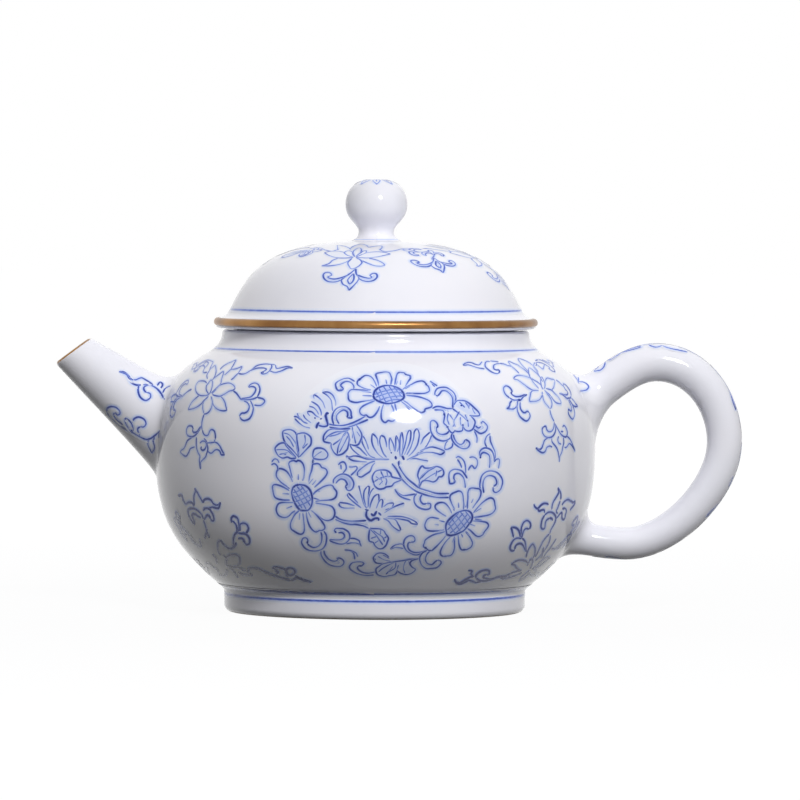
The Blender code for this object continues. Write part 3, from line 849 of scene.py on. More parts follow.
# The roundel's drawing in pixels of the 800 by 800 photo, one row of x, y, x, y ... for each brush line. The
# outlines were read off the photo. Scrolls and stems are pairs of lines.
roundelScrolls = (
    (
        (
            355.5, 381.5, 350, 378.5, 345.5, 378.5, 340.5, 380.5,
            336.5, 383.5, 337, 388, 339, 390.5, 342, 390.5, 344.5, 389,
        ),
        (344.5, 389, 341.5, 385.5, 343.5, 383, 347, 381.5, 351.5, 382.5, 354.5, 386, 354.5, 389),
    ),
    (
        (
            334.5, 424.5, 333, 418.5, 334, 413, 337.5, 408.5, 343, 406.5,
            348, 407.5, 351.5, 411, 352, 415.5, 352.5, 418, 347.5, 417.5,
        ),
        (
            340, 424, 337.5, 419.5, 337.5, 415.5, 340.5, 412,
            344.5, 410, 348, 412, 348.5, 415.5, 347.5, 417.5,
        ),
    ),
    (
        (
            436, 395.5, 435.5, 393, 437.5, 389, 441.5, 387.5, 446.5, 387.5,
            450.5, 389.5, 454.5, 393, 456.5, 398, 455.5, 403,
        ),
        (438.5, 396, 441, 393, 442.5, 391, 446.5, 391, 450.5, 394, 453, 398, 453.5, 403, 453, 407),
    ),
    (
        (
            482, 423.5, 483, 421.5, 485.5, 423, 488, 426.5,
            486.5, 431, 481.5, 433.5, 477.5, 431.5, 473.5, 428.5,
        ),
        (475.5, 425.5, 479, 428, 481.5, 426.5),
    ),
    (
        (
            437, 428.5, 438.5, 426, 437.5, 423, 434.5, 420.5, 431.5, 421.5, 431, 425.5,
            431.5, 431, 434, 436, 438, 439.5, 444, 441, 449, 439.5, 453, 436,
        ),
        (437, 428.5, 438, 432.5, 442.5, 434.5, 447.5, 433.5, 449.5, 431),
    ),
    (
        (453, 433, 452, 437, 454, 442, 458, 446, 463, 448.5, 468, 448, 470.5, 444, 469, 441, 466, 439.5),
        (454, 434.5, 455, 438.5, 458, 443, 461.5, 444.5, 464, 443, 466, 439.5),
    ),
    (
        (481, 458, 480, 453.5, 481.5, 450, 485, 448, 489, 448.5, 492.5, 451, 494.5, 456, 495, 462),
        (481, 458, 481.5, 454.5, 484, 452.5, 487.5, 453.5, 490, 456, 490.5, 462, 490, 468),
    ),
    (
        (
            334, 483.5, 334.5, 479.5, 338, 476, 343, 474, 348, 475, 352, 478,
            354.5, 483, 353.5, 488, 350.5, 490.5, 347.5, 489.5, 346, 486,
        ),
        (336.5, 483.5, 339, 480.5, 342, 479, 345.5, 480, 347, 482, 348, 484.5, 346, 486),
    ),
    (
        (
            330, 540.5, 334.5, 542.5, 340.5, 544, 345.5, 543.5, 349.5, 540, 350.5, 536,
            349, 532, 344.5, 529, 340.5, 528.5, 336.5, 528.5, 335, 531, 337, 533,
        ),
        (330, 539.5, 337, 540, 342, 539.5, 345, 537, 344.5, 534, 342, 532.5, 339, 533),
    ),
    (
        (
            324.5, 531, 327, 535.5, 327, 541, 325.5, 546, 322, 549.5, 316.5, 551, 310.5, 550.5,
            305.5, 548, 302.5, 543.5, 302.5, 540.5, 304, 538, 307, 538, 308.5, 540.5, 308, 543.5,
        ),
        (321.5, 532, 322.5, 536, 322, 542, 319, 546, 314.5, 547.5, 310.5, 546, 308, 543.5),
    ),
    (
        (
            321.5, 551, 322, 555.5, 325.5, 561, 330.5, 565, 337, 566.5,
            342, 566, 344.5, 562.5, 343, 559.5, 339.5, 558, 337, 558.5,
        ),
        (324.5, 550.5, 325.5, 554.5, 329, 559, 333, 561, 336.5, 561, 339, 559),
    ),
    (
        (
            374.5, 575, 366.5, 575.5, 359, 574, 353, 571, 350, 567.5, 352, 563.5,
            356.5, 562, 362, 562, 364.5, 563.5, 362, 566, 359, 566,
        ),
        (359, 566, 358, 568, 360.5, 571, 365.5, 573, 371.5, 573, 376.5, 571.5),
    ),
    (
        (
            468, 478.5, 465.5, 474.5, 462.5, 471, 458, 469.5, 454, 469.5, 450.5, 472,
            449.5, 476, 450, 481.5, 450.5, 483.5, 453.5, 483.5, 455.5, 482, 455.5, 480,
        ),
        (466, 488, 465.5, 483, 464, 477.5, 460.5, 474, 457.5, 473.5, 455, 475, 454.5, 478.5, 455.5, 480),
    ),
    (
        (
            482.5, 493, 480.5, 487, 481, 480.5, 483, 475, 487.5, 471.5, 492.5, 471, 497.5, 472.5,
            501, 476, 503, 480.5, 502.5, 485.5, 500.5, 490, 496.5, 492.5, 494, 491, 493.5, 488,
        ),
        (
            484.5, 493, 483.5, 487, 484, 481, 486.5, 477, 490.5, 475.5,
            495, 477, 497, 480.5, 497, 484, 494, 486.5,
        ),
    ),
    (
        (
            417.5, 493.5, 415, 497, 415, 502, 417.5, 506, 421.5, 508.5,
            426.5, 509.5, 430.5, 508.5, 431.5, 505.5, 430.5, 503.5, 427.5, 503.5,
        ),
        (423, 494, 421, 498, 421.5, 501.5, 424, 504, 427.5, 503.5),
    ),
    (
        (
            423, 553, 417.5, 555, 412.5, 554, 407.5, 551, 404.5, 546, 404.5, 542,
            406, 538.5, 409.5, 536, 413.5, 536, 415.5, 538.5, 415, 541.5, 411.5, 542.5,
        ),
        (411.5, 542.5, 409, 543, 408.5, 547, 410.5, 550.5, 415.5, 552.5, 421.5, 552, 427.5, 550),
    ),
    (
        (
            427.5, 550.5, 423, 553, 420.5, 557, 420.5, 561, 422.5, 565.5, 426.5, 568.5,
            431.5, 568.5, 437.5, 567.5, 441.5, 563.5, 441, 561, 438, 560,
        ),
        (430.5, 551, 427.5, 554.5, 426, 559.5, 428, 563.5, 432.5, 564.5, 435.5, 562, 438, 560),
    ),
    (
        (366.5, 416, 359.5, 420, 351.5, 423.5, 343, 425.5, 334, 425, 329.5, 424),
        (369, 419.5, 359.5, 423.5, 353, 426, 343, 428.5, 334.5, 428, 330, 427),
    ),
    (
        (399.5, 466, 403, 472, 408, 478.5, 414, 483.5, 420, 488, 429, 491, 438, 493.5, 450, 493.5),
        (
            392.5, 463.5, 396.5, 468.5, 400, 474.5, 402.5, 479, 409, 485.5,
            415.5, 490.5, 420.5, 493, 430, 496, 439, 497.5, 450, 497.5,
        ),
    ),
    (
        (335.5, 516, 341.5, 519.5, 349.5, 521, 359.5, 521, 367, 520.5),
        (336, 519.5, 344.5, 523, 351.5, 524.5, 356.5, 524.5, 364, 526, 369.5, 528.5),
    ),
    (
        (433, 408.5, 437.5, 406.5, 442.5, 407, 448, 408.5, 453, 408.5),
        (435, 410, 440.5, 410, 444, 411, 445.5, 415.5),
    ),
)
# leaves: outlines that are washed inside, then their open edges and veins
roundelLeaves = (
    (
        299.5, 457, 297.5, 445, 297.5, 435.5, 294.5, 431, 289.5, 429.5, 284, 431,
        283.5, 434.5, 284.5, 439.5, 287, 444, 292, 448.5, 299.5, 457,
    ),
    (
        299.5, 452, 297.5, 436, 300, 433.5, 305.5, 433, 310.5, 436,
        312, 439.5, 311.5, 444.5, 308, 448.5, 300, 457,
    ),
    (
        297, 457.5, 287, 446, 285.5, 443, 280.5, 443.5, 276.5, 447, 276, 450,
        279, 455.5, 283.5, 458, 288, 457, 292, 458.5, 297, 458,
    ),
    (
        314.5, 458.5, 313.5, 455.5, 315, 449.5, 319.5, 448, 324.5, 449,
        328, 452.5, 328.5, 456, 325.5, 459, 319.5, 459.5, 314.5, 458.5,
    ),
    (351, 428.5, 341, 429, 333, 429, 328, 431, 324.5, 436, 324.5, 441, 328, 442.5, 332, 443),
    (332, 443, 332, 447, 334.5, 452, 338, 455, 343, 454, 346.5, 451, 348.5, 448, 350, 438, 348, 431.5),
    (351.5, 444.5, 355.5, 445.5, 359.5, 444, 362.5, 437, 362, 433, 359.5, 428.5, 357, 425),
    (
        374.5, 483, 373, 478, 374.5, 473.5, 377, 471, 381.5, 470, 387.5, 470.5, 391.5, 473.5, 393, 477,
        402, 479.5, 395, 483, 392.5, 486, 387, 487, 384.5, 488.5, 379.5, 489, 375.5, 486, 374.5, 483,
    ),
    (
        420, 487, 420, 480.5, 418.5, 475.5, 420, 469.5, 423, 466, 425.5, 468,
        431, 468, 437.5, 466.5, 443, 469, 444.5, 473.5, 442.5, 476.5, 439.5, 477,
        437.5, 480, 434, 482, 430, 481, 425.5, 480.5, 422.5, 482, 420, 487,
    ),
    (
        370.5, 528.5, 369.5, 535.5, 370, 541, 374, 542.5, 375.5, 545.5, 379, 548.5, 383, 548.5,
        386.5, 545.5, 388, 542, 389, 538, 386, 533.5, 384.5, 531, 380.5, 529, 370.5, 528.5,
    ),
    (389.5, 557, 385.5, 554, 380.5, 553, 376.5, 554.5, 374, 558.5, 377, 563, 385, 563.5),
    (
        419.5, 558.5, 400.5, 561, 385, 563.5, 379.5, 566.5, 376.5, 569.5,
        378, 574.5, 384.5, 576.5, 390.5, 575.5, 395.5, 574.5, 398, 571,
    ),
    (
        398, 571, 401.5, 573.5, 407.5, 574.5, 412.5, 573, 416, 569.5,
        412.5, 567, 410.5, 563.5, 413, 560.5, 420, 558.5,
    ),
    (
        454, 405.5, 457.5, 401, 461.5, 400.5, 465.5, 401, 470, 403.5,
        475, 408, 479, 412, 480, 415.5, 474, 416, 470, 415.5,
    ),
    (
        471.5, 416, 475.5, 421, 475, 425.5, 473, 429.5, 469, 431,
        465.5, 429.5, 463.5, 426.5, 463, 430.5, 459, 431.5, 455.5, 431,
    ),
    (444, 411, 445.5, 414.5, 445, 418.5, 444.5, 423, 447.5, 426, 450, 430.5, 453, 433, 455.5, 431),
)
roundelVeins = (
    (284.5, 433, 289.5, 434.5, 294, 439.5, 297.5, 445.5, 299.5, 452, 299.5, 458),
    (287, 436, 291, 440.5, 294.5, 447),
    (305.5, 434.5, 306, 442, 303, 448),
    (276, 450, 280.5, 449.5, 287, 450, 292, 453.5, 297, 458),
    (281, 453.5, 287, 454.5),
    (313.5, 465, 313.5, 460.5, 315, 457, 319, 453.5, 322.5, 451.5),
    (324.5, 441, 329.5, 435.5, 337, 432, 345.5, 431.5, 351.5, 428.5),
    (338, 454.5, 339, 447, 341.5, 441, 344.5, 434.5, 348, 431.5),
    (353, 427, 353.5, 433.5, 353, 438.5),
    (374.5, 482, 380.5, 478.5, 387, 476.5, 394, 477, 401.5, 479),
    (381.5, 471, 383, 473.5),
    (382, 478.5, 383, 483.5),
    (386.5, 478, 388, 482),
    (420, 480.5, 423, 475.5, 427.5, 471, 430.5, 468.5),
    (374, 530.5, 378, 533.5, 383, 537, 385.5, 542),
    (419.5, 558.5, 409, 559, 400.5, 561, 392.5, 563.5, 384, 568, 379, 572),
    (407.5, 559.5, 405, 563.5, 404, 568.5, 405.5, 573),
    (396.5, 562, 395.5, 568, 389, 572),
    (453, 408.5, 459, 413, 464, 417, 468, 421),
    (450, 414.5, 453, 418.5, 455, 422, 453.5, 427),
    (470, 403.5, 469.5, 407),
    (460, 411.5, 457.5, 416, 454.5, 421.5, 456, 427),
    (465.5, 414.5, 467, 417.5, 468.5, 421.5, 469, 427),
    (460, 402, 463, 405, 465.5, 407.5),
    (466, 402.5, 468, 405, 470, 409),
    (473, 408, 474, 411, 476, 414),
    (449, 413, 448, 419, 450, 425),
    (461, 417, 461, 422, 462, 426),
    (326.5, 436.5, 336.5, 435, 346.5, 430),
    (333.5, 445, 341.5, 439, 348.5, 431.5),
    (340, 452.5, 345, 443.5, 350, 433.5),
    (348.5, 446.5, 351, 438.5),
    (356.5, 443.5, 355, 436.5, 353.5, 430),
    (361, 436.5, 357.5, 431.5),
    (308.5, 443.5, 303.5, 448.5),
    (280, 454.5, 288.5, 452.5),
    (376.5, 476.5, 381.5, 480),
    (381.5, 471.5, 385, 478.5),
    (387.5, 471.5, 389, 477.5),
    (380, 485, 383.5, 481),
    (386.5, 485.5, 387.5, 481),
    (425, 480, 433.5, 474.5, 442.5, 470),
    (421.5, 478.5, 428.5, 471.5, 436.5, 467),
    (437.5, 470.5, 436.5, 476.5),
    (370, 528.5, 376.5, 535, 383.5, 545),
    (371.5, 538.5, 377.5, 536.5),
    (375, 543.5, 380, 540),
    (381.5, 529, 381, 535),
    (387.5, 536.5, 383.5, 539),
    (378.5, 556.5, 385, 560, 391.5, 561.5),
    (383.5, 555, 390, 558.5),
    (386.5, 574.5, 393.5, 566.5),
    (396.5, 573.5, 399, 565),
    (411.5, 565, 409, 561.5),
)
# chrysanthemums seen from the side: each petal's two edges from its dark tip to its base
roundelPetals = (
    (295.5, 418.5, 300, 423, 305, 426.5, 311, 428),
    (298, 413, 299, 416, 301.5, 419, 304.5, 422, 308.5, 423.5),
    (294.5, 416.5, 298, 417, 301.5, 420),
    (304, 414.5, 305.5, 417.5, 308, 420, 312, 423),
    (308, 411.5, 309, 414, 311, 416),
    (308, 411.5, 311.5, 411.5, 314, 413, 317, 416, 320.5, 417.5),
    (310, 406.5, 313, 407, 315.5, 408.5, 318, 411.5, 319.5, 414.5),
    (312, 401.5, 315, 403, 318.5, 405.5, 320.5, 408.5, 322, 412.5, 322, 415.5),
    (314.5, 394.5, 318, 396.5, 321, 399, 323.5, 402, 325, 405.5, 326, 408.5),
    (314.5, 394.5, 314.5, 397, 315, 399),
    (323, 392.5, 328, 392, 331.5, 393.5, 334, 396, 335.5, 399, 336.5, 402.5, 336.5, 406),
    (323, 392.5, 326, 394, 329, 396.5, 331.5, 399.5, 332.5, 403, 333, 407.5, 333.5, 411),
    (346.5, 456, 350, 457, 354.5, 456, 360, 456.5, 367.5, 459, 376.5, 459.5, 390, 459.5),
    (349, 458, 353.5, 460.5, 361, 461.5, 368, 462),
    (350.5, 444, 352.5, 448.5, 356.5, 452.5, 362, 456.5, 369, 458.5, 376.5, 459, 383.5, 458.5, 390, 459),
    (350.5, 444, 353.5, 445, 360, 448, 363.5, 451.5, 368, 456),
    (363, 436, 362.5, 440.5, 364, 445, 367.5, 451.5, 371, 456, 376.5, 458.5),
    (363, 436, 364.5, 437, 367, 442, 369.5, 449.5),
    (373, 433.5, 372.5, 440.5, 374, 446.5, 377, 451.5, 380, 455, 384, 458),
    (373, 433.5, 375.5, 435.5, 378, 439, 379, 446),
    (381.5, 435.5, 380.5, 440.5, 381, 445, 382.5, 449.5, 384.5, 454, 387.5, 457.5),
    (381.5, 435.5, 384.5, 436.5, 386, 439, 387, 443, 387.5, 447.5),
    (390.5, 437.5, 390, 442, 390, 447.5, 391.5, 451.5),
    (390.5, 437.5, 391.5, 439, 393.5, 443, 395, 447.5, 395.5, 451.5),
    (397, 435.5, 396.5, 440.5, 396.5, 446, 396, 451.5),
    (397, 435.5, 398, 437.5, 399.5, 442, 399.5, 447.5, 398, 452),
    (402.5, 432, 401, 437.5, 400.5, 445, 400.5, 451.5, 401, 457),
    (402.5, 432, 403, 434, 404, 440.5, 403.5, 446.5, 402.5, 453),
    (410, 430, 408, 434, 407, 439.5, 405.5, 446, 403.5, 452, 402.5, 456),
    (410, 430, 411.5, 431.5, 411.5, 436.5, 410.5, 442, 408, 448.5, 405, 455),
    (417.5, 428.5, 415, 432, 414.5, 437.5, 413, 443, 411, 448.5, 407.5, 455),
    (417.5, 428.5, 419, 430.5, 420, 435, 419, 441.5, 417.5, 446, 414, 451.5, 409, 456.5),
    (431, 432, 427.5, 435, 424, 438.5, 422.5, 442, 421, 444.5),
    (
        431, 432, 432.5, 434, 431.5, 437.5, 429.5, 442, 426.5, 447,
        422.5, 451.5, 418, 455, 412.5, 457.5, 407.5, 460,
    ),
    (445.5, 451, 439, 448.5, 432.5, 447, 426.5, 448.5, 420.5, 451),
    (445.5, 452, 441.5, 454.5, 437.5, 453.5, 432.5, 452.5, 425.5, 452.5, 419, 454.5),
    (358.5, 476, 358.5, 472, 364, 467, 370, 463, 376, 461),
    (358.5, 476, 362, 477, 367, 474, 371, 471, 373, 466, 376, 462.5),
    (420.5, 452, 415.5, 456, 409, 459, 407.5, 460.5),
    (429, 461, 423, 460, 415.5, 458.5, 408, 459),
    (340, 502.5, 348, 503.5, 355.5, 506),
    (340, 503, 340, 505.5, 344.5, 508, 355.5, 508),
    (348, 493.5, 349, 497, 355.5, 503, 362, 508),
    (349, 493, 354.5, 498.5, 359, 503.5),
    (359.5, 485.5, 360.5, 489.5, 362, 495.5, 364.5, 503.5, 367.5, 508.5),
    (368, 486.5, 365, 491, 364.5, 498, 366.5, 506),
    (368, 486.5, 370, 487, 369.5, 493.5, 368.5, 501, 368.5, 508),
    (374.5, 488, 371.5, 492, 369.5, 498.5, 369, 507),
    (378.5, 494, 374.5, 497, 371.5, 503.5, 370.5, 508.5),
    (378.5, 494, 379.5, 495.5, 379.5, 501, 377, 508.5),
    (382, 499, 379.5, 502, 377, 508.5),
    (382, 499, 383.5, 501, 382.5, 508),
    (394.5, 503, 389, 503.5, 384, 507),
    (394.5, 503, 392.5, 507.5, 386, 510),
    (405, 503, 398, 505.5, 391, 509, 385, 513),
    (418.5, 524, 415, 521, 408, 518, 400.5, 516.5, 388, 516.5),
    (418.5, 524.5, 412.5, 523.5, 408, 520.5, 396, 518.5, 386, 518),
    (401, 530.5, 401, 528.5, 399, 524.5, 395.5, 519.5, 388, 518.5),
    (401, 530.5, 399, 530.5, 393, 526, 389, 521, 384, 518.5),
)
# flames, tendrils and small curls
roundelTendrils = (
    (430.5, 381, 434, 383.5, 438, 386),
    (432.5, 383.5, 435.5, 387),
    (491, 433.5, 487.5, 436, 485.5, 441, 486, 444.5, 487.5, 447),
    (490.5, 435.5, 491, 441, 493, 446, 495.5, 452, 496, 458.5),
    (495, 462, 496.5, 459.5, 499.5, 459, 500, 462, 499, 468.5),
    (456.5, 458, 459, 456.5, 463, 459, 465.5, 463.5, 466.5, 472),
    (458, 459.5, 460.5, 463, 462.5, 468),
    (470, 457.5, 474, 457, 477.5, 459.5, 478, 464.5, 475.5, 468.5, 472.5, 465.5, 470, 468, 469, 470.5),
    (466.5, 473.5, 466, 467),
    (475, 431, 477.5, 437, 477.5, 443),
    (449, 439.5, 446, 444.5, 446, 449.5, 452.5, 447, 453.5, 441),
    (339, 465, 341.5, 462.5, 344.5, 462, 346.5, 464.5, 347, 468.5, 345.5, 471, 343.5, 473.5),
    (341.5, 464.5, 342, 469.5),
    (349.5, 467, 353, 467, 357, 466.5, 357.5, 469.5, 351.5, 475.5),
    (350.5, 538.5, 354.5, 538.5, 359.5, 540.5, 360.5, 543, 362, 546.5),
    (347, 544, 351.5, 543, 356.5, 543, 360.5, 544.5),
    (345, 550, 349.5, 550.5, 354, 553, 355.5, 559.5),
    (345, 550, 351, 550.5, 356.5, 553, 358.5, 557),
    (395.5, 489, 399, 493, 404, 495.5, 410, 495, 416.5, 494),
    (395.5, 489.5, 400, 495.5, 405.5, 498.5, 411.5, 500),
    (391, 549, 395, 545.5, 400.5, 544, 404.5, 544.5),
    (391, 549.5, 396.5, 547.5, 404, 548.5),
    (272, 465, 275, 463.5, 278, 466, 278.5, 470),
    (272.5, 462, 275, 459, 278, 459.5, 280, 463),
    (400, 460.5, 399.5, 466),
)
# the three open daisies: petals from base over tip to base, and seed heads
roundelDaisies = (
    (
        371, 390.5, 362, 390, 355, 389.5, 351.5, 390, 349, 393, 349, 396,
        349.5, 399.5, 352, 401.5, 357, 402.5, 363, 401.5, 370, 400.5, 375, 399.5,
    ),
    (
        372, 390, 369, 389.5, 364, 388, 360, 386, 358, 384, 358.5, 381, 362, 378,
        366, 375.5, 370, 376, 373, 378, 375.5, 382, 377.5, 386.5,
    ),
    (
        379.5, 386, 378.5, 381, 377, 377, 376.5, 374.5, 377.5, 373.5, 382, 372.5,
        386, 372, 389.5, 372.5, 391, 374.5, 392.5, 379, 392, 382, 391.5, 385,
    ),
    (
        395.5, 385, 396.5, 379, 397.5, 375, 399, 372.5, 402, 372.5, 405, 373,
        406, 374.5, 408, 375, 411, 376, 411, 378.5, 410, 380, 408, 383, 406, 386.5,
    ),
    (
        403, 390, 406, 387.5, 412, 384.5, 417, 382, 422, 381, 425, 382, 427, 384.5,
        429, 386.5, 430, 389, 430, 391, 428, 392.5, 424, 393.5, 416, 393.5, 407, 393,
    ),
    (
        407, 395.5, 414, 396, 420, 397, 426, 399, 430, 401, 432.5, 404, 432, 407, 426, 409,
        425.5, 411, 423, 412.5, 420, 412, 416, 409.5, 412, 406.5, 408, 403, 404, 400.5,
    ),
    (395.5, 403.5, 396.5, 408, 398.5, 413, 402, 418, 407, 419, 411, 416, 411, 411.5, 407, 406, 402, 401.5),
    (
        384.5, 404, 383, 408, 382, 413, 382, 417.5, 383, 420.5, 386, 422.5, 389, 420.5,
        391, 421, 394, 421, 396.5, 418, 395, 413, 394, 409, 392, 404.5,
    ),
    (
        376, 400.5, 369, 403.5, 364, 406, 361, 409, 360.5, 412, 362, 414.5, 364.5, 415.5,
        367, 415, 368.5, 416.5, 371, 417.5, 374, 416.5, 376.5, 414, 379, 410, 380.5, 406,
    ),
    (
        293, 478, 291.5, 472, 290, 466, 289.5, 463.5, 291, 461.5, 294.5, 460.5, 297, 461.5,
        298.5, 460.5, 301, 461, 303.5, 463.5, 305, 468, 305, 473, 304.5, 479,
    ),
    (
        309.5, 482, 310.5, 476, 312.5, 470, 313.5, 464.5, 315, 464, 318, 463.5, 320.5, 464.5,
        322.5, 467.5, 324.5, 468, 327, 469.5, 328, 472.5, 326.5, 476, 324, 479, 320, 483, 315, 487.5,
    ),
    (
        313.5, 495, 316, 492, 321, 488.5, 326, 486, 331, 485, 333.5, 486, 335, 488.5,
        337, 491, 337.5, 493.5, 336.5, 497, 334, 499, 330, 500, 322, 500.5, 316, 501.5,
    ),
    (
        316, 503, 322, 504, 328, 505, 332.5, 506.5, 335, 510, 335.5, 514,
        334, 518, 331, 520, 327, 520.5, 323, 519, 319, 516, 314, 512,
    ),
    (
        307, 512, 307.5, 517, 309, 523, 311.5, 528, 314.5, 531, 317, 532, 320, 530.5,
        322.5, 530.5, 325, 529, 325.5, 526.5, 323, 522, 319, 517, 314, 512, 311.5, 510.5,
    ),
    (
        300, 510.5, 296, 514, 292.5, 520, 291, 525, 292, 529, 294.5, 531, 297, 532.5,
        300, 534, 302.5, 534, 304.5, 532, 305, 528, 304.5, 521, 303.5, 513,
    ),
    (
        295, 502.5, 289, 502.5, 283, 502.5, 279.5, 503.5, 277.5, 506.5, 277, 510.5,
        279, 515, 282.5, 517, 286, 517.5, 289.5, 516, 292.5, 513, 296, 510.5,
    ),
    (
        291, 500, 285, 500, 279, 499, 275.5, 497, 274, 493, 273.5, 489.5, 273, 487,
        274, 485, 276.5, 484.5, 280.5, 485.5, 285, 487.5, 290, 490.5,
    ),
    (
        288.5, 487, 284, 484, 280.5, 481, 277.5, 477, 277, 473.5, 278.5, 469.5,
        281, 468.5, 284.5, 469.5, 287.5, 471.5, 289.5, 474, 291.5, 477.5, 293.5, 482,
    ),
    (
        455.5, 509.5, 453, 505, 451, 500, 450.5, 498, 451, 495.5, 453, 493.5, 456.5, 492,
        459.5, 491, 462, 492, 463.5, 495, 464, 500, 464.5, 505, 464, 509.5,
    ),
    (
        468, 509, 468, 504, 468.5, 498, 468.5, 493, 469.5, 489.5, 470.5, 488.5, 473, 488,
        477, 488.5, 480, 489, 481.5, 491.5, 481, 496, 479, 500, 476, 504, 473, 508.5,
    ),
    (
        474, 513, 477, 509, 481, 504.5, 485, 501, 489, 498.5, 492, 498, 494.5, 500, 495.5, 505,
        496, 508.5, 494.5, 511.5, 491.5, 514, 487, 515.5, 481, 516.5, 474, 517.5,
    ),
    (
        473, 521, 478, 521, 483, 521.5, 487, 522.5, 489, 525, 488, 528, 485.5, 531,
        483.5, 534.5, 480, 536.5, 477, 536, 474, 533.5, 471, 530.5, 468, 528.5,
    ),
    (
        466, 531.5, 469, 535, 471.5, 539, 473, 543, 472, 546.5, 469.5, 548.5,
        466, 550, 463, 550, 461, 548.5, 459.5, 544, 459, 538, 458.5, 534.5,
    ),
    (
        451, 537, 447, 541, 443.5, 546, 441, 551.5, 441.5, 555, 444.5, 556.5,
        448, 556, 451, 555.5, 453.5, 553, 455, 548, 455, 542, 455, 536.5,
    ),
    (
        446, 531.5, 441, 533, 435, 534.5, 430, 537, 426, 540, 425, 543, 424, 546, 425.5, 548,
        427.5, 549, 429.5, 550.5, 432.5, 550.5, 436, 547.5, 440, 543.5, 444, 539, 446.5, 535.5,
    ),
    (
        440, 519, 436, 518, 432, 517.5, 428.5, 519, 426.5, 522,
        425.5, 526, 427, 529.5, 430.5, 531, 437, 531, 445, 530,
    ),
    (
        447, 516.5, 442, 513.5, 438, 510.5, 436, 508, 436, 505.5, 438, 503.5,
        441.5, 502.5, 445, 503, 448, 505.5, 450.5, 509, 452.5, 513.5,
    ),
)
roundelHeads = (
    (
        374, 395.5, 376, 390.5, 381, 387, 388, 385.5, 395, 386.5, 401, 389.5, 404.5, 394.5,
        404, 398.5, 400, 401, 394, 403, 387, 403.5, 380, 401.5, 375.5, 399, 374, 395.5,
    ),
    (
        299.5, 484.5, 294.5, 486.5, 292.5, 492, 293, 496, 294.5, 501, 298, 507, 301, 510, 305, 510.5,
        309, 510, 312, 506, 313, 500, 312, 493, 309.5, 488.5, 305.5, 485.5, 299.5, 484.5,
    ),
    (
        447.5, 534.5, 446.5, 528, 447, 524, 449, 520.5, 453, 516.5, 457.5, 513,
        461, 511.5, 465, 510.5, 469, 511, 472, 513.5, 473, 517, 472, 521, 469, 525,
        465, 530, 461, 532.5, 456, 534.5, 451, 535.5, 447.5, 534.5,
    ),
)
# the heads' crossed lines and, partly, the veins in the daisies' petals are estimates
roundelHatch = (
    (375.5, 394.5, 384, 391.5, 396, 389, 402, 391),
    (376, 397.5, 386, 394, 398, 392, 404, 394),
    (379, 400.5, 389, 397.5, 400, 396, 404, 397),
    (385, 402.5, 393, 400, 401.5, 399.5),
    (376.5, 391, 380, 397, 382, 401.5),
    (379.5, 388, 383, 395, 386.5, 402),
    (384, 386.5, 388, 392, 392, 399, 393, 402.5),
    (389.5, 386, 393, 391, 398, 398.5),
    (394, 386.5, 397, 390, 402.5, 397),
    (294.5, 489, 299, 496, 304, 504, 307, 509.5),
    (297.5, 486, 302, 492, 308, 501, 311.5, 506.5),
    (301.5, 485.5, 305, 490, 312, 500),
    (293.5, 494, 298, 501, 303, 508.5),
    (293, 493, 299, 491, 304.5, 487.5),
    (293.5, 497.5, 300, 495.5, 308.5, 490.5),
    (295, 502, 303, 499, 311.5, 494.5),
    (298, 506.5, 306, 503, 312.5, 499),
    (448, 530, 456, 522, 464, 513),
    (450.5, 533.5, 459, 525.5, 468.5, 513.5),
    (455, 534, 463, 527, 471.5, 516.5),
    (448.5, 525, 454, 518.5, 459.5, 513),
    (452, 518, 456, 524, 461, 531.5),
    (456, 514.5, 461, 521, 466, 528),
    (461, 512, 465, 517, 469.5, 523.5),
    (449, 522, 452, 528, 456, 533.5),
    (466, 511.5, 469, 515, 472, 519),
)
roundelDaisyVeins = (
    (373, 396, 363, 395.5),
    (372, 392.5, 362, 391.5),
    (376, 388, 371, 384.5),
    (387.5, 384, 386.5, 379.5),
    (401, 385, 401.5, 380),
    (402, 401.5, 408, 406, 412, 409),
    (299, 480, 299, 474),
    (313, 485, 317, 480),
    (293, 506, 287, 508.5),
    (290, 494, 283, 493.5),
    (300.5, 513, 300, 520),
    (459.5, 508, 459, 502.5),
    (472, 503, 474, 498.5),
    (470, 524, 476, 526),
    (462, 534, 463.5, 537.5),
    (439.5, 525, 435, 524.5),
    (380, 386.5, 378.5, 382.5),
    (391, 384.5, 391.5, 379),
    (397, 385, 398.5, 380.5),
    (405.5, 389, 411, 386),
    (406, 394, 414, 393.5),
    (376.5, 400.5, 371, 404),
    (384, 404.5, 382.5, 409.5),
    (303.5, 481, 304.5, 475),
    (314.5, 492, 321, 491),
    (314, 498, 321, 500),
    (309, 512, 312, 518),
    (296, 511.5, 293.5, 517),
    (290.5, 488.5, 284.5, 485.5),
    (309.5, 484, 314, 478.5),
    (455, 511, 453, 505),
    (466, 507.5, 468.5, 501),
    (475, 512.5, 482, 508),
    (475, 519, 483, 520),
    (467, 531.5, 471, 536),
    (455, 537, 453, 542.5),
    (445.5, 522, 439.5, 520.5),
    (444.5, 529.5, 438.5, 532),
)
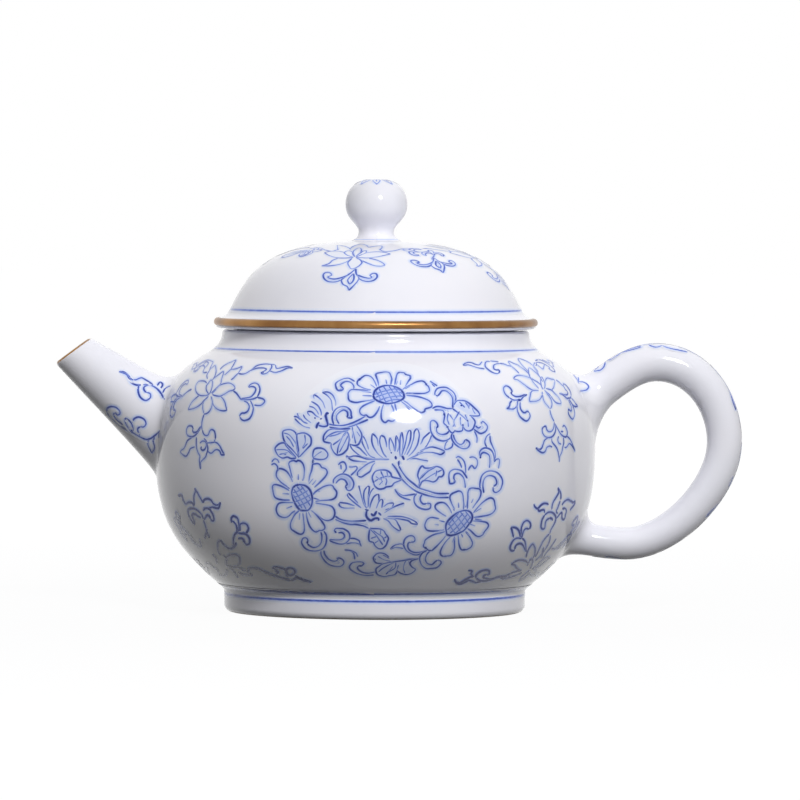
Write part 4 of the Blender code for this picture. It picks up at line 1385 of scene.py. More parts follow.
# where the brush stopped: short dark dabs
roundelDabs = (
    (338.5, 390.5, 344, 389.5),
    (348, 417.5, 352.5, 418),
    (436.5, 395.5, 439, 396),
    (481.5, 423.5, 483, 421.5),
    (437, 428.5, 438.5, 426),
    (466, 439.5, 468.5, 441),
    (481, 456.5, 481, 458.5),
    (346, 486, 347.5, 489),
    (335, 530.5, 337, 533),
    (308, 541, 308, 543.5),
    (337, 558.5, 339, 558.5),
    (359, 566, 362, 565.5),
    (455.5, 480, 454.5, 482.5),
    (493.5, 487, 494, 490.5),
    (427.5, 503.5, 430, 503.5),
    (411.5, 542.5, 414.5, 541.5),
    (438, 560.5, 440.5, 560.5),
    (358.5, 381, 362, 378),
    (376.5, 375, 377.5, 373.5),
    (398.5, 373.5, 400, 372.5),
    (405.5, 374, 407.5, 375),
    (410.5, 376, 411, 378),
    (426, 383, 427.5, 385.5),
    (431.5, 408, 432, 405.5),
    (425, 411, 426.5, 409),
    (388.5, 420.5, 390.5, 421),
    (366, 415, 368, 416),
    (294.5, 460.5, 297, 461.5),
    (313.5, 462, 313.5, 465.5),
    (321.5, 466, 323, 468),
    (334, 486.5, 335.5, 489.5),
    (315, 532, 318.5, 531.5),
    (293.5, 530.5, 297, 532.5),
    (273, 489, 273.5, 486),
    (278, 470.5, 280, 469),
    (300, 509.5, 302, 510.5),
    (294, 487.5, 296, 485.5),
    (450.5, 500, 450.5, 496.5),
    (469.5, 490.5, 471, 488.5),
    (480.5, 489.5, 481.5, 492.5),
    (495.5, 504, 496, 508),
    (485, 531.5, 483.5, 534),
    (462.5, 550, 467, 549.5),
    (443.5, 556.5, 448, 556),
    (425, 547, 427.5, 549),
    (429, 550.5, 432.5, 550.5),
    (447, 530, 447.5, 534.5, 452, 535.5),
    (472, 514, 473, 517.5),
    (437, 505, 439, 503.5),
    (276, 448.5, 276.5, 451.5),
    (284, 431, 283.5, 434),
    (324.5, 439.5, 325, 441.5),
    (313.5, 464, 314, 459.5),
    (350.5, 445, 352.5, 444.5),
    (374, 484, 375.5, 486),
    (419.5, 484, 420, 487),
    (437.5, 479.5, 440, 477),
    (370, 541, 373.5, 542.5),
    (374, 558, 376, 560.5),
    (377, 573, 379, 575.5),
    (398, 570.5, 398.5, 573),
    (453.5, 404.5, 453.5, 408),
    (469.5, 404.5, 469.5, 407.5),
    (461, 405.5, 463, 405.5),
    (463.5, 424, 463.5, 427),
    (454.5, 431.5, 456.5, 430.5),
    (444.5, 413, 445.5, 416),
    (447, 427, 449.5, 427),
    (467.5, 420, 469, 421.5),
    (317, 428.5, 318, 425, 320, 422),
    (319.5, 425.5, 324.5, 426.5, 328.5, 425, 327, 418.5, 326.5, 415.5, 328, 413, 329.5, 414),
    (315, 417.5, 316.5, 418.5),
    (321.5, 418, 322, 419.5),
    (
        365.5, 509.5, 369, 510.5, 367.5, 511, 367, 516, 369.5, 519.5,
        372, 520.5, 375.5, 518.5, 379, 518.5, 379.5, 521,
    ),
    (371.5, 513.5, 374.5, 515.5, 377.5, 511),
    (379, 512.5, 382, 515.5),
    (391.5, 452, 392.5, 453.5),
    (396, 456, 397, 459.5),
    (399.5, 461, 399.5, 466),
    (402, 454, 405, 460),
    (346.5, 456, 349, 457),
    (445.5, 450.5, 444, 452.5),
)


# how the photo shows the pot, in millimetres, pixels and degrees
view = {
    "distance": 1540,
    "height": 93.5,  # the camera's, above the table
    "aim": (5.39, 46.53),  # at the picture's middle: out from the pot's axis, and up
    "width": 176,  # of the picture, at the pot's axis
    "pixel": 0.22,
    "middlePixel": 400,
    "lean": 0.3,  # of the pot in the picture, as it was read
    "tip": 1.75,
    "roll": 0.28,
}
wallAngle, wallHeight = 3.3, 30.3  # where the developed wall has its zero: degrees from the front, and up


def seenPlace(points):
    # places in the photo's pixels to millimetres from the pot's axis and up from the table
    lean = math.radians(view["lean"])
    c, s = math.cos(lean), math.sin(lean)
    off = (np.array(points, float) - view["middlePixel"]) * (view["pixel"], -view["pixel"])
    x, z = c * off[:, 0] - s * off[:, 1], s * off[:, 0] + c * off[:, 1]
    return np.column_stack((x + view["aim"][0], z + view["aim"][1]))


def wallPlace(x, up):
    # the angle, the height and the radius at which a place seen from the front meets the wall
    z = up
    for _ in range(5):
        radius = bodyRadius(z)
        depth = math.sqrt(max(radius * radius - x * x, 0))
        z = up + depth * (view["height"] - up) / view["distance"]
    return math.asin(max(-1, min(1, x * (1 - depth / view["distance"]) / radius))), z, radius


def developed(marks, mirror=None):
    # photo pixels to millimetres on the developed wall, or their mirror image about an angle
    lengths = arcOf(bodySide, wallHeight)
    made = []
    for kind, points, tones, width in marks:
        flat = []
        for x, up in seenPlace(points):
            across, z, radius = wallPlace(x, up)
            if mirror is not None:
                across = 2 * mirror - across
            flat.append((radius * (across - math.radians(wallAngle)), np.interp(z, bodySide[:, 1], lengths)))
        made.append([kind, np.array(flat), tones, width])
    return made


def dabs(drawn):
    return lines(*rows(*drawn), tones=(1.05, 1.1, 1.05), width=0.62)


roundelMiddle, roundelRadius = (387, 475.5), 114  # in the photo's pixels
roundelGround = 0.05  # cobalt that has bled into the glaze between the lines
# the pale washes behind the three chrysanthemums, by estimate
roundelWashes = (
    (
        347, 456, 351, 445, 363, 437, 373, 435, 390, 439, 402, 434,
        417, 430, 431, 433, 430, 447, 440, 452, 408, 460, 370, 462,
    ),
    (296, 418, 310, 407, 315, 396, 324, 393, 335, 401, 334, 410, 322, 416, 311, 427, 301, 423),
    (
        342, 504, 349, 494, 360, 487, 374, 489, 383, 500, 404, 504,
        388, 512, 416, 523, 400, 529, 384, 519, 360, 509,
    ),
)


def roundel():
    turns = np.linspace(0, 2 * math.pi, 40)[:-1]
    ground = np.array(roundelMiddle) + roundelRadius * np.column_stack((np.cos(turns), np.sin(turns)))
    marks = [["ground", ground, (roundelGround,), 0]]
    marks += [wash(row, 0.12) for row in rows(*roundelWashes)]
    marks += [wash(row) for row in rows(*roundelLeaves)]
    marks += [wash(row, 0.25) for row in rows(*roundelHeads)]
    marks += doubled(roundelScrolls)
    marks += lines(*rows(*roundelLeaves), tones=(0.75, 0.85, 0.8, 0.9, 0.75))
    marks += lines(*rows(*roundelVeins), tones=(0.85, 0.55, 0.7), width=0.42)
    marks += lines(*rows(*roundelPetals), tones=(1.0, 0.8, 0.6, 0.5), width=0.44)
    marks += [halo(row, (0.3, 0.2, 0.14), 2.0) for row in rows(*roundelPetals)]
    marks += lines(*rows(*roundelTendrils), tones=(0.85, 0.65, 0.8), width=0.46)
    marks += lines(*rows(*roundelDaisies), tones=(0.55, 0.8, 0.95, 0.8, 0.55), width=0.5)
    marks += lines(*rows(*roundelHeads), tones=(1.0, 0.95, 1.05), width=0.6)
    marks += [["over", row, (0.68, 0.52, 0.62), 0.34] for row in rows(*roundelHatch)]
    marks += lines(*rows(*roundelDaisyVeins), tones=(0.75, 0.4), width=0.36)
    return developed(marks + dabs(roundelDabs))


# The wall's four sprays, in the photo's pixels like the roundel: a lotus, a pendant, and a scroll and a
# hooked flower at the side that the photo shows. The dim parts of the lower ones are estimates.
upperRightLotus = (
    (508.5, 361, 514, 363.5, 518, 365, 521.5, 367.5, 525, 370, 530.5, 375.5),
    (508.5, 361, 509.5, 363.5, 512, 366.5, 515, 369, 519.5, 373.5),
    (518, 358.5, 521, 359, 525, 360.5, 529, 362.5, 532.5, 365, 536, 368.5, 538.5, 372),
    (518, 358.5, 519, 360.5, 521, 363.5, 524, 367, 526.5, 369.5, 529.5, 373.5),
    (528.5, 368.5, 530, 368, 533, 370, 536, 372.5, 539, 375.5, 541, 378.5, 543, 382),
    (528.5, 368.5, 529, 373.5, 531, 378.5, 535, 384, 539, 388.5),
    (535, 362.5, 534, 364.5, 534, 367, 536, 370, 539, 374.5),
    (535, 362.5, 537, 364.5, 540, 367, 543, 369, 544, 366.5, 544.5, 364.5),
    (
        514, 379, 515, 377, 518, 375.5, 521.5, 375.5, 526, 376.5,
        530.5, 378, 535, 380.5, 539, 383, 542, 386.5,
    ),
    (514, 379, 518, 380, 521, 382, 525, 385, 529, 388, 533, 390, 538, 390.5),
    (541.5, 376.5, 541, 379, 541, 383, 542, 387, 543.5, 389.5),
    (541.5, 376.5, 543, 378.5, 544.5, 382, 545, 386, 544, 389),
    (
        545, 388.5, 545.5, 384, 545.5, 380.5, 547.5, 378, 551, 379,
        554.5, 380, 554.5, 384, 553.5, 388, 551.5, 390,
    ),
    (
        546, 388.5, 551.5, 390, 554.5, 393, 558, 396.5,
        560.5, 400.5, 561, 403.5, 557, 403, 554, 400.5, 551, 396,
    ),
    (551, 396, 548, 393, 544.5, 390),
    (
        539, 390.5, 534, 390.5, 531.5, 392, 530.5, 396, 530, 401,
        533, 401.5, 537, 401, 540.5, 399, 542.5, 395,
    ),
    (542.5, 395, 542.5, 391.5),
    (543, 395, 543.5, 399, 545.5, 403, 548, 406, 550, 408.5),
    (545, 390.5, 547.5, 394, 550.5, 398, 552, 402, 552, 406, 550.5, 409),
    (556, 380, 559, 382, 562, 385, 565, 387.5),
)
upperRightPendant = (
    (550, 409.5, 551, 414, 552.5, 418, 554.5, 421.5),
    (
        555.5, 423.5, 556, 428, 555, 433, 552.5, 436.5, 549, 437.5,
        545.5, 436.5, 543, 433, 542.5, 429, 544, 426.5,
    ),
    (544, 426.5, 546.5, 426.5, 547, 429.5, 549, 431.5, 552, 431, 554, 427.5, 554.5, 422),
    (
        556, 425, 558.5, 430, 561, 434, 564, 436.5, 566.5, 436.5,
        567.5, 433, 566.5, 428.5, 564.5, 425.5, 563, 425.5,
    ),
    (563, 425.5, 563, 427.5),
    (561, 431.5, 563.5, 431.5),
    (548, 438, 545, 440, 543.5, 444, 542, 448, 539.5, 449.5, 536, 448),
    (536, 448, 541, 452, 544, 452.5, 546, 450.5, 547, 447.5, 550, 446, 552.5, 447),
    (
        567, 436, 570, 439, 572.5, 444, 575, 450.5, 572, 445.5,
        569.5, 443.5, 567.5, 446, 566, 447.5, 564.5, 447,
    ),
    (552, 438, 552.5, 442, 556, 446.5, 558, 450.5, 559, 456, 559.5, 462),
    (563.5, 437, 564, 442, 563, 447, 562, 452, 560, 456.5, 559.5, 462),
    (559, 436, 558, 439.5, 559, 443, 561.5, 444),
)
upperRightScroll = (
    (463.5, 365, 465.5, 363.5, 469, 362.5, 472.5, 363, 476, 364.5, 479.5, 365, 481.5, 363, 482.5, 361.5),
    (463.5, 365.5, 469, 365, 474, 366.5, 479, 368, 485, 369),
    (
        490.5, 361.5, 487.5, 361.5, 486, 362.5, 485.5, 364.5, 486, 367,
        488.5, 369.5, 492, 372, 496, 373.5, 499, 373.5,
    ),
    (
        499, 373.5, 500, 371.5, 499, 370, 496.5, 370, 494.5, 369,
        494, 367, 494.5, 365, 496.5, 364, 500, 363.5,
    ),
    (500, 363.5, 504, 364, 508, 365.5, 512, 366.5),
    (490.5, 361, 495, 361.5, 499, 362),
)
upperRightFlower = (
    (
        511.5, 393, 512.5, 391.5, 511, 388.5, 508.5, 386.5, 506, 386,
        504, 388, 504.5, 391.5, 506.5, 395, 510, 398,
    ),
    (510, 398, 514, 400, 518, 400, 521, 400, 524, 396.5, 527.5, 394.5),
    (511.5, 393, 513, 395, 516, 396.5, 520, 396.5, 523, 395.5, 525.5, 394.5),
    (
        512.5, 400.5, 510.5, 403, 510, 406, 507.5, 408.5, 511, 409,
        514, 409, 516.5, 407, 518, 404, 517.5, 401,
    ),
    (
        518.5, 401, 517.5, 406, 518, 411, 520, 416, 523, 419,
        526.5, 421, 529, 419.5, 530.5, 416, 529.5, 412.5,
    ),
    (529.5, 412.5, 527.5, 411, 526, 412.5, 524, 412.5, 521.5, 410, 520.5, 406.5, 520.5, 402),
)
upperLeftLotus = (
    (212.5, 394, 216, 390, 220, 385.5, 225, 383.5, 230, 383, 234, 385, 236, 388),
    (213, 394.5, 216, 395.5, 221, 396, 226, 393.5, 230, 391, 234, 390, 236, 388),
    (212.5, 397, 213, 401, 214.5, 405.5, 218, 409, 222, 410.5, 226, 410.5, 228, 409.5),
    (221, 396, 223.5, 398.5, 225.5, 402, 226.5, 406, 227.5, 409.5),
    (209, 396, 205, 400.5, 203.5, 404.5, 203.5, 409, 205, 414),
    (211.5, 396, 213, 401, 212.5, 406, 210.5, 410.5, 208, 413, 205, 414),
    (209, 396.5, 205, 400, 201, 404.5, 195, 408, 188.5, 409.5),
    (200, 395, 196.5, 398, 192.5, 402, 188.5, 409.5),
    (210, 394.5, 205, 395.5, 200, 395, 197, 392, 196, 388, 197, 384, 200, 381, 205, 381, 207.5, 383),
    (209.5, 394, 207, 390, 207, 386, 209, 383, 211.5, 380, 213, 381, 213, 385, 212, 390, 210, 394),
    (212, 393, 215, 390, 219, 386, 221, 384, 222.5, 381),
    (213, 380, 216, 377, 220, 374, 224, 371.5, 223.5, 375, 222, 380, 221.5, 383),
    (
        208, 379, 207.5, 375, 209, 372, 211.5, 368.5, 215.5, 365.5,
        216.5, 369, 216.5, 373, 215, 377, 213, 380,
    ),
    (195, 368, 198, 365, 203, 361.5, 208, 360, 212, 361, 213.5, 362, 212.5, 364.5, 211, 367.5, 210, 371),
    (195, 372.5, 198, 370, 201, 366.5, 205, 363.5, 209, 361),
    (220.5, 369.5, 224, 366, 229, 363, 233, 361.5, 236.5, 360, 235, 363, 233.5, 366, 231.5, 369),
    (
        225, 375, 228, 372.5, 231.5, 369.5, 235, 369, 239, 368,
        242.5, 366.5, 241.5, 369, 240, 371.5, 239, 373.5,
    ),
    (239, 373, 236, 376, 233.5, 378.5, 231.5, 380),
)
upperLeftPendant = (
    (205, 414, 203.5, 418, 202.5, 423, 202.5, 427, 203, 430),
    (202.5, 424, 200.5, 429, 197.5, 433.5, 193, 436.5, 188, 435, 187, 430, 189, 426, 192.5, 426, 194, 429),
    (193, 429, 194, 432, 197.5, 431.5, 201, 426.5),
    (
        203, 430, 204.5, 434, 207, 435.5, 209, 434.5, 210, 432,
        211, 430, 213, 429.5, 215, 431, 216, 435, 216, 439,
    ),
    (216, 439, 215, 441.5, 218, 443, 220.5, 446, 222.5, 450, 224.5, 453.5, 225.5, 454.5),
    (
        225.5, 454.5, 222, 454.5, 220.5, 451, 218, 449.5, 215.5, 450,
        213.5, 452, 211.5, 453, 209.5, 452, 208.5, 450,
    ),
    (215.5, 442, 212, 442.5, 208, 442.5, 205, 441),
    (
        204.5, 438, 207, 441, 208, 445, 208.5, 449, 207.5, 453,
        206, 457, 203.5, 459.5, 201.5, 462, 201.5, 469,
    ),
    (197, 437, 197, 446, 198.5, 452, 200.5, 456, 200, 460, 201, 469),
    (200.5, 443, 203, 441, 206, 441.5, 207, 445, 205.5, 449, 203, 450, 201.5, 448, 202.5, 446.5),
    (192.5, 437.5, 188, 440.5, 185, 447.5, 181, 451.5, 186, 456, 189, 453, 191, 448.5, 195.5, 446.5),
)
upperLeftSide = (
    (239, 373.5, 243, 374, 247, 373, 252.5, 369.5, 257, 366, 262, 364.5, 267, 364, 272, 364.5, 276, 365),
    (276, 365, 276.5, 367, 277.5, 368.5, 281, 368, 285, 367, 289, 366.5, 293.5, 368),
    (293.5, 368, 289, 368, 286, 369, 283, 370.5, 280, 371.5, 276, 372.5, 272, 371.5, 270, 370.5),
    (272, 364.5, 272.5, 366.5, 271.5, 369, 269.5, 371.5, 266.5, 373.5, 263.5, 374, 262, 373, 263.5, 371.5),
    (263.5, 371.5, 265, 371, 266.5, 370, 267, 369, 264, 368, 259, 368, 255, 369, 250, 371),
    (234, 391, 237, 393, 240, 397, 242.5, 399.5, 250, 399.5, 255, 398.5, 258, 397),
    (
        249.5, 387.5, 250, 385.5, 253, 383.5, 256, 383, 259, 384.5,
        260.5, 388, 260.5, 391, 259.5, 394, 258, 397,
    ),
    (
        249.5, 387.5, 252, 386.5, 255, 387, 256.5, 389, 256, 391.5,
        254.5, 394, 252, 396.5, 249, 397.5, 242, 398.5,
    ),
    (258, 397.5, 261, 398, 264, 399, 265.5, 401, 264.5, 403, 262, 405, 259, 405.5, 255, 405),
    (
        251, 400.5, 253, 404.5, 254, 408, 253.5, 412, 252, 416,
        249.5, 419, 245, 420.5, 242, 419, 240.5, 416.5,
    ),
    (
        240.5, 416.5, 241, 414.5, 243, 413, 245, 413, 248, 411.5,
        249.5, 409, 250, 406, 248, 402.5, 244.5, 401,
    ),
)
lowerRightLotus = (
    (549.5, 534, 546.5, 537, 543.5, 541, 541, 546, 538, 552, 535.5, 557),
    (550.5, 535, 550, 540, 548, 545, 545.5, 549, 542.5, 554, 540, 558.5),
    (526.5, 557.5, 527, 554, 528.5, 550, 531, 546, 533, 544, 534.5, 546, 535.5, 549, 535, 554, 533.5, 558),
    (527.5, 566, 529, 562, 532, 558.5, 533, 561, 532, 565, 530.5, 569),
    (511.5, 564.5, 514, 562.5, 518, 560.5, 522, 560, 526, 561, 528, 563),
    (511.5, 564.5, 515, 565, 516.5, 567.5, 519.5, 570, 522, 570.5),
    (535.5, 560.5, 539, 557.5, 542, 553, 543.5, 548, 542.5, 554, 542, 558),
    (556.5, 538.5, 553, 544, 550.5, 548, 546.5, 553, 543, 558),
    (552, 548.5, 555, 549, 559, 548, 562, 545, 565, 541, 568, 535.5, 566, 539, 563, 543, 560.5, 546),
    (550.5, 557.5, 547, 557.5, 543.5, 559.5, 540, 562.5, 537, 566, 532, 569),
    (550.5, 557.5, 545, 562, 540, 566, 535, 568),
    (530, 570, 525.5, 574, 522, 577, 520, 580.5, 524, 578.5, 528, 575, 531, 572),
)
lowerRightPendant = (
    (558, 487.5, 559.5, 489.5, 561, 494, 561, 499.5),
    (558, 487.5, 559, 492, 556.5, 497, 554, 501, 552.5, 505, 552, 509.5),
    (560.5, 500.5, 558, 507.5, 556.5, 511.5, 558, 513.5),
    (534, 504, 535.5, 507, 538, 508.5, 541, 505.5, 544, 503.5, 547, 503.5, 549, 504.5),
    (538, 508.5, 539.5, 511, 542, 510, 544.5, 510, 545, 513),
    (545, 515, 548, 512.5, 551, 512, 554, 513.5, 556, 517, 555.5, 521, 553.5, 525.5, 551, 530, 550, 534),
    (
        545, 515, 542.5, 519.5, 541.5, 524, 541.5, 527.5, 543, 529,
        545, 528, 545.5, 524, 546.5, 520.5, 549.5, 518,
    ),
    (549.5, 518, 552, 518.5, 553, 520.5),
    (
        556.5, 518.5, 559.5, 514.5, 562, 512.5, 562, 516, 562.5, 519,
        564.5, 519, 565.5, 515, 566.5, 511, 565.5, 508,
    ),
    (565.5, 508, 562.5, 508.5),
    (562, 505, 564.5, 501.5, 568, 499.5, 571, 501, 573.5, 502.5, 575.5, 500.5),
    (570, 510, 572, 507.5, 574.5, 504, 575.5, 501),
)
lowerRightSide = (
    (
        521.5, 537, 521.5, 531, 522, 527, 524, 522.5, 527, 520.5,
        529.5, 521.5, 531, 524.5, 530.5, 527.5, 529.5, 529,
    ),
    (529.5, 529, 526.5, 528.5, 524.5, 530, 523, 534, 522, 538),
    (511, 527.5, 515, 527.5, 518, 529, 520, 532.5, 520.5, 537),
    (511, 527.5, 512, 529, 513, 533, 514, 537.5),
    (522, 538.5, 518, 538, 514.5, 539.5, 512, 543, 510.5, 547, 511, 550, 513.5, 551, 515, 549.5),
    (515, 549.5, 516, 546, 518, 544, 521, 543.5, 523.5, 545.5, 525, 549, 526.5, 551.5),
    (522.5, 538, 525, 541, 526, 545.5, 526.5, 552),
    (455, 579, 456, 581.5, 460, 582.5, 463, 581.5, 467, 579, 471, 577, 474.5, 576.5),
    (455.5, 582, 460, 584, 465, 582.5, 469, 580.5, 473, 581.5, 477, 582.5, 482, 581),
    (468.5, 570.5, 472.5, 571, 471.5, 573.5, 473.5, 576.5),
    (
        476.5, 578, 476.5, 575.5, 478.5, 573, 482, 571, 486, 570,
        489, 570.5, 490, 572.5, 489, 574.5, 486.5, 574.5,
    ),
    (
        486.5, 574.5, 484.5, 575.5, 484, 577.5, 486.5, 578.5,
        490, 579, 495, 578, 500, 576.5, 506, 576, 511, 573.5,
    ),
    (511, 573.5, 516, 571.5, 521, 570.5),
    (
        476.5, 578, 480, 580.5, 486, 581, 492, 579.5, 500, 577,
        503, 578.5, 509, 577.5, 516, 575.5, 522, 572.5,
    ),
)
lowerLeftLotus = (
    (221, 540, 218.5, 542, 218, 546, 218.5, 551, 221, 555),
    (
        223.5, 555, 226.5, 557, 229.5, 555, 234, 554.5, 238, 555.5,
        240, 558.5, 240, 563, 238.5, 565.5, 234, 567,
    ),
    (234, 567, 228.5, 566, 226.5, 564, 227, 557),
    (228.5, 567, 232.5, 569.5, 236, 574.5, 238.5, 578),
    (232, 568, 237.5, 566.5, 243, 569.5, 247.5, 571),
    (238.5, 572, 244, 574.5, 253, 575.5),
    (227, 569.5, 226.5, 574, 223.5, 576, 218.5, 574.5),
    (212.5, 554, 216, 558, 217, 564),
)
lowerLeftPendant = (
    (195, 488, 198, 492.5, 199.5, 495.5, 202, 499.5, 203.5, 502.5),
    (195, 488, 196, 490.5, 194.5, 496, 194.5, 500.5, 195, 505),
    (203.5, 502.5, 205, 499.5, 208, 498.5, 211.5, 500, 214, 503.5, 217.5, 505, 219.5, 504, 221, 502),
    (204, 508, 207.5, 508, 210, 507.5, 213.5, 507, 217, 508, 219.5, 507.5, 221, 502),
    (203.5, 510.5, 206.5, 508, 210, 509, 212.5, 512.5, 214, 516, 214.5, 520, 212.5, 520.5, 211, 518.5),
    (211, 518.5, 210, 516, 208, 515, 206, 517, 204.5, 520),
    (
        204, 518.5, 202, 514.5, 199, 511, 195, 508.5, 192, 508,
        189, 509, 188.5, 512.5, 190, 517, 192, 520.5, 194, 523.5,
    ),
    (195.5, 524, 195, 522.5, 193.5, 518.5, 192.5, 515.5, 193.5, 513.5, 196, 514, 198, 515.5, 201.5, 517.5),
    (194.5, 506, 192.5, 502.5, 189, 502, 186, 503.5, 183.5, 499.5, 182, 495, 178.5, 495.5),
    (204, 520, 206, 526, 207, 531, 205, 538.5),
    (207, 531, 208, 533.5, 210, 537.5),
)
lowerLeftSide = (
    (221, 540, 223, 543, 226, 546, 230, 548.5, 233.5, 547.5, 236, 544.5, 236.5, 542),
    (234, 545, 234, 538.5, 235.5, 534, 237.5, 532, 237.5, 527.5, 236, 523.5, 233, 521, 232, 522.5),
    (232, 522, 232, 518, 234, 516, 237.5, 517.5, 239, 521, 239.5, 527.5, 238.5, 532),
    (
        240.5, 531, 240.5, 526, 241, 524, 244, 523, 247.5, 524.5,
        249, 528.5, 247.5, 532, 246, 533.5, 243, 532,
    ),
    (238.5, 533, 243, 533.5, 247, 534.5, 250, 538.5, 250, 543, 247.5, 544.5, 245.5, 543),
    (245.5, 543, 244, 539.5, 241.5, 538, 238.5, 538.5),
    (
        248.5, 569.5, 250, 568, 255.5, 568, 261, 569.5, 266.5, 572.5,
        272, 574.5, 278.5, 577, 284, 578.5, 291, 580.5,
    ),
    (291, 580.5, 294, 579.5, 296.5, 578, 300, 578.5, 305.5, 581, 311.5, 582, 300, 578, 295.5, 575.5),
    (248.5, 569.5, 248.5, 572, 250.5, 574, 253, 575.5),
    (275.5, 569.5, 273.5, 567.5, 277, 567, 281.5, 568, 286, 570, 287, 573.5, 287.5, 577),
    (275.5, 569.5, 278, 572, 277.5, 574),
    (286.5, 572, 287, 569, 290.5, 568, 294, 569, 295.5, 572, 293.5, 574.5, 290, 575.5, 287, 573.5),
)
sprayDabs = (
    (507.5, 408.5, 510, 407.5),
    (511.5, 392, 512, 394.5),
    (526.5, 411.5, 528.5, 411.5),
    (518, 400, 521.5, 400),
    (546, 426.5, 547, 428.5),
    (563, 426, 564.5, 425.5),
    (536, 448, 538, 448.5),
    (574, 448.5, 575, 450.5),
    (249.5, 387.5, 250.5, 385.5),
    (263, 373, 264.5, 371.5),
    (542, 528.5, 544.5, 528),
    (522, 535, 522, 538.5),
    (511.5, 550.5, 514, 550),
    (563, 519, 564.5, 519),
    (503.5, 578.5, 508, 577.5),
    (484, 575.5, 485, 577.5),
    (455, 579, 456, 580.5),
    (511.5, 564.5, 514, 562.5),
    (232, 520.5, 232.5, 522.5),
    (244.5, 541.5, 246, 543.5),
    (234.5, 545, 233, 547.5),
    (247.5, 532, 246, 533.5),
    (194.5, 523, 195.5, 524.5),
    (286.5, 575, 289, 577),
    (206.5, 530.5, 207, 533),
)
# each spray's third value darkens its cobalt and widens its lines as painted shade; it is above 1 on the two
# lower sprays
wallSprays = (
    {
        "lotus": upperRightLotus, "lotusTone": 0.68, "shadeInk": 1.0, "middle": (543, 390),
        "drawn": upperRightPendant, "side": upperRightScroll + upperRightFlower,
    },
    {
        "lotus": upperLeftLotus, "lotusTone": 0.82, "shadeInk": 1.0, "middle": (208, 396),
        "drawn": upperLeftPendant, "side": upperLeftSide,
    },
    {
        "lotus": lowerRightLotus, "lotusTone": 0.95, "shadeInk": 1.4, "middle": (546, 545),
        "drawn": lowerRightPendant, "side": lowerRightSide,
    },
    {
        "lotus": lowerLeftLotus, "lotusTone": 0.9, "shadeInk": 1.4, "middle": (208, 536),
        "drawn": lowerLeftPendant, "side": lowerLeftSide,
    },
)


# painted shade: more, darker cobalt and wider lines where the wall turns under, from a row of the photo's
# pixels down, over a number of rows
underShade = {"row": 545, "reach": 20, "more": 0.35, "widest": 1.25}


def brushed(drawn, tone, shadeInk, width):
    marks = []
    for row in rows(*drawn):
        # painted shade: lines and halos darken and widen lower on the wall, and with the spray's shade value
        share = np.clip((row[:, 1].mean() - underShade["row"]) / underShade["reach"], 0, 1)
        full = shadeInk * (1 + underShade["more"] * share)
        tones = (tone * full, 0.88 * tone * full, tone * full)
        marks += lines(row, tones=tones, width=width * min(full, underShade["widest"]))
        marks.append(halo(row, (0.2 * full, 0.3 * full, 0.2 * full), 1.5))
    return marks


def sprays():
    # the far side of each spray, which the photo doesn't show well, is a mirror image of the near one
    marks = developed(dabs(sprayDabs))
    for spray in wallSprays:
        side = brushed(spray["side"], 0.92, spray["shadeInk"], 0.5)
        shown = brushed(spray["lotus"], spray["lotusTone"], spray["shadeInk"], 0.42)
        shown += brushed(spray["drawn"], 0.92, spray["shadeInk"], 0.5) + side
        marks += developed(shown)
        marks += developed(side, wallPlace(*seenPlace((spray["middle"],))[0])[0])
    return marks


# The lid's ornaments, in millimetres: to the right, then up.


def lotus():
    petals = [
        ((0.4, 0), (3, -0.1), (5, 0.4), (6.6, 1.3), (7.6, 1.9)),
        ((1.6, 1.7), (2.6, 2.7), (4.5, 3.2), (6.3, 2.7), (7.6, 1.9)),
        ((-0.2, -0.1), (-3.4, -0.2), (-5.8, 0.8), (-7.6, 2.4)),
        ((-2.7, 2.7), (-4.5, 3.4), (-6.4, 3.2), (-7.6, 2.4)),
        ((0.7, -0.2), (2.4, -1.6), (4.8, -3.1), (6.4, -3.4), (7.4, -3.1)),
        ((3.3, -0.2), (5.3, -1.1), (6.7, -2.2), (7.4, -3.1)),
        ((-0.4, -0.3), (-1.2, -1.8), (-2.8, -2.9), (-4.8, -3.4), (-6.8, -3.5)),
        ((-3.6, -0.4), (-4.6, -1.3), (-5.2, -2.6), (-6.8, -3.5)),
        (
            (-0.4, -0.6), (-0.9, -2.2), (-0.3, -3.6), (0.4, -4.4),
            (1.6, -3.6), (2.2, -2.2), (1.6, -1), (0.6, -0.2),
        ),
        ((-0.1, 0.1), (-1.8, 1.2), (-2.7, 2.6), (-2.2, 3.8), (-1.3, 3.4), (-0.4, 1.9), (0, 0.5)),
        ((0.1, 0.4), (-0.7, 2.2), (-0.8, 4.2), (-0.1, 6.1), (0.7, 4.6), (0.9, 2.6), (0.3, 0.6)),
        ((0.4, 0.2), (1.5, 1.6), (2.1, 2.7), (1.8, 4), (1.2, 3.4), (0.9, 2)),
        ((-2, 5.6), (-1.7, 8), (-0.6, 10.2), (0.8, 8.8), (1.6, 7.2)),
        ((1.7, 6.4), (2.6, 7.4), (4.1, 8.4), (4.8, 6.4), (4.7, 4.5)),
        ((-4.6, 4.2), (-5.4, 6.6), (-5.9, 8.5), (-4, 7.6), (-2.5, 6), (-1.7, 4.7)),
    ]
    washes = [
        wash(((0.6, 0.3), (3, -0.1), (5, 0.4), (7.6, 1.9), (6.3, 2.7), (4.5, 3.2), (2.6, 2.7)), 0.06),
        wash(
            ((-0.6, 0.3), (-3.4, -0.2), (-5.8, 0.8), (-7.6, 2.4), (-6.4, 3.2), (-4.5, 3.4), (-2.7, 2.7)),
            0.06,
        ),
        wash(
            ((-0.4, -0.6), (-0.9, -2.2), (-0.3, -3.6), (0.4, -4.4), (1.6, -3.6), (2.2, -2.2), (1.6, -1)),
            0.05,
        ),
    ]
    return washes + lines(*petals, tones=(0.9, 0.65, 0.95), width=0.46)


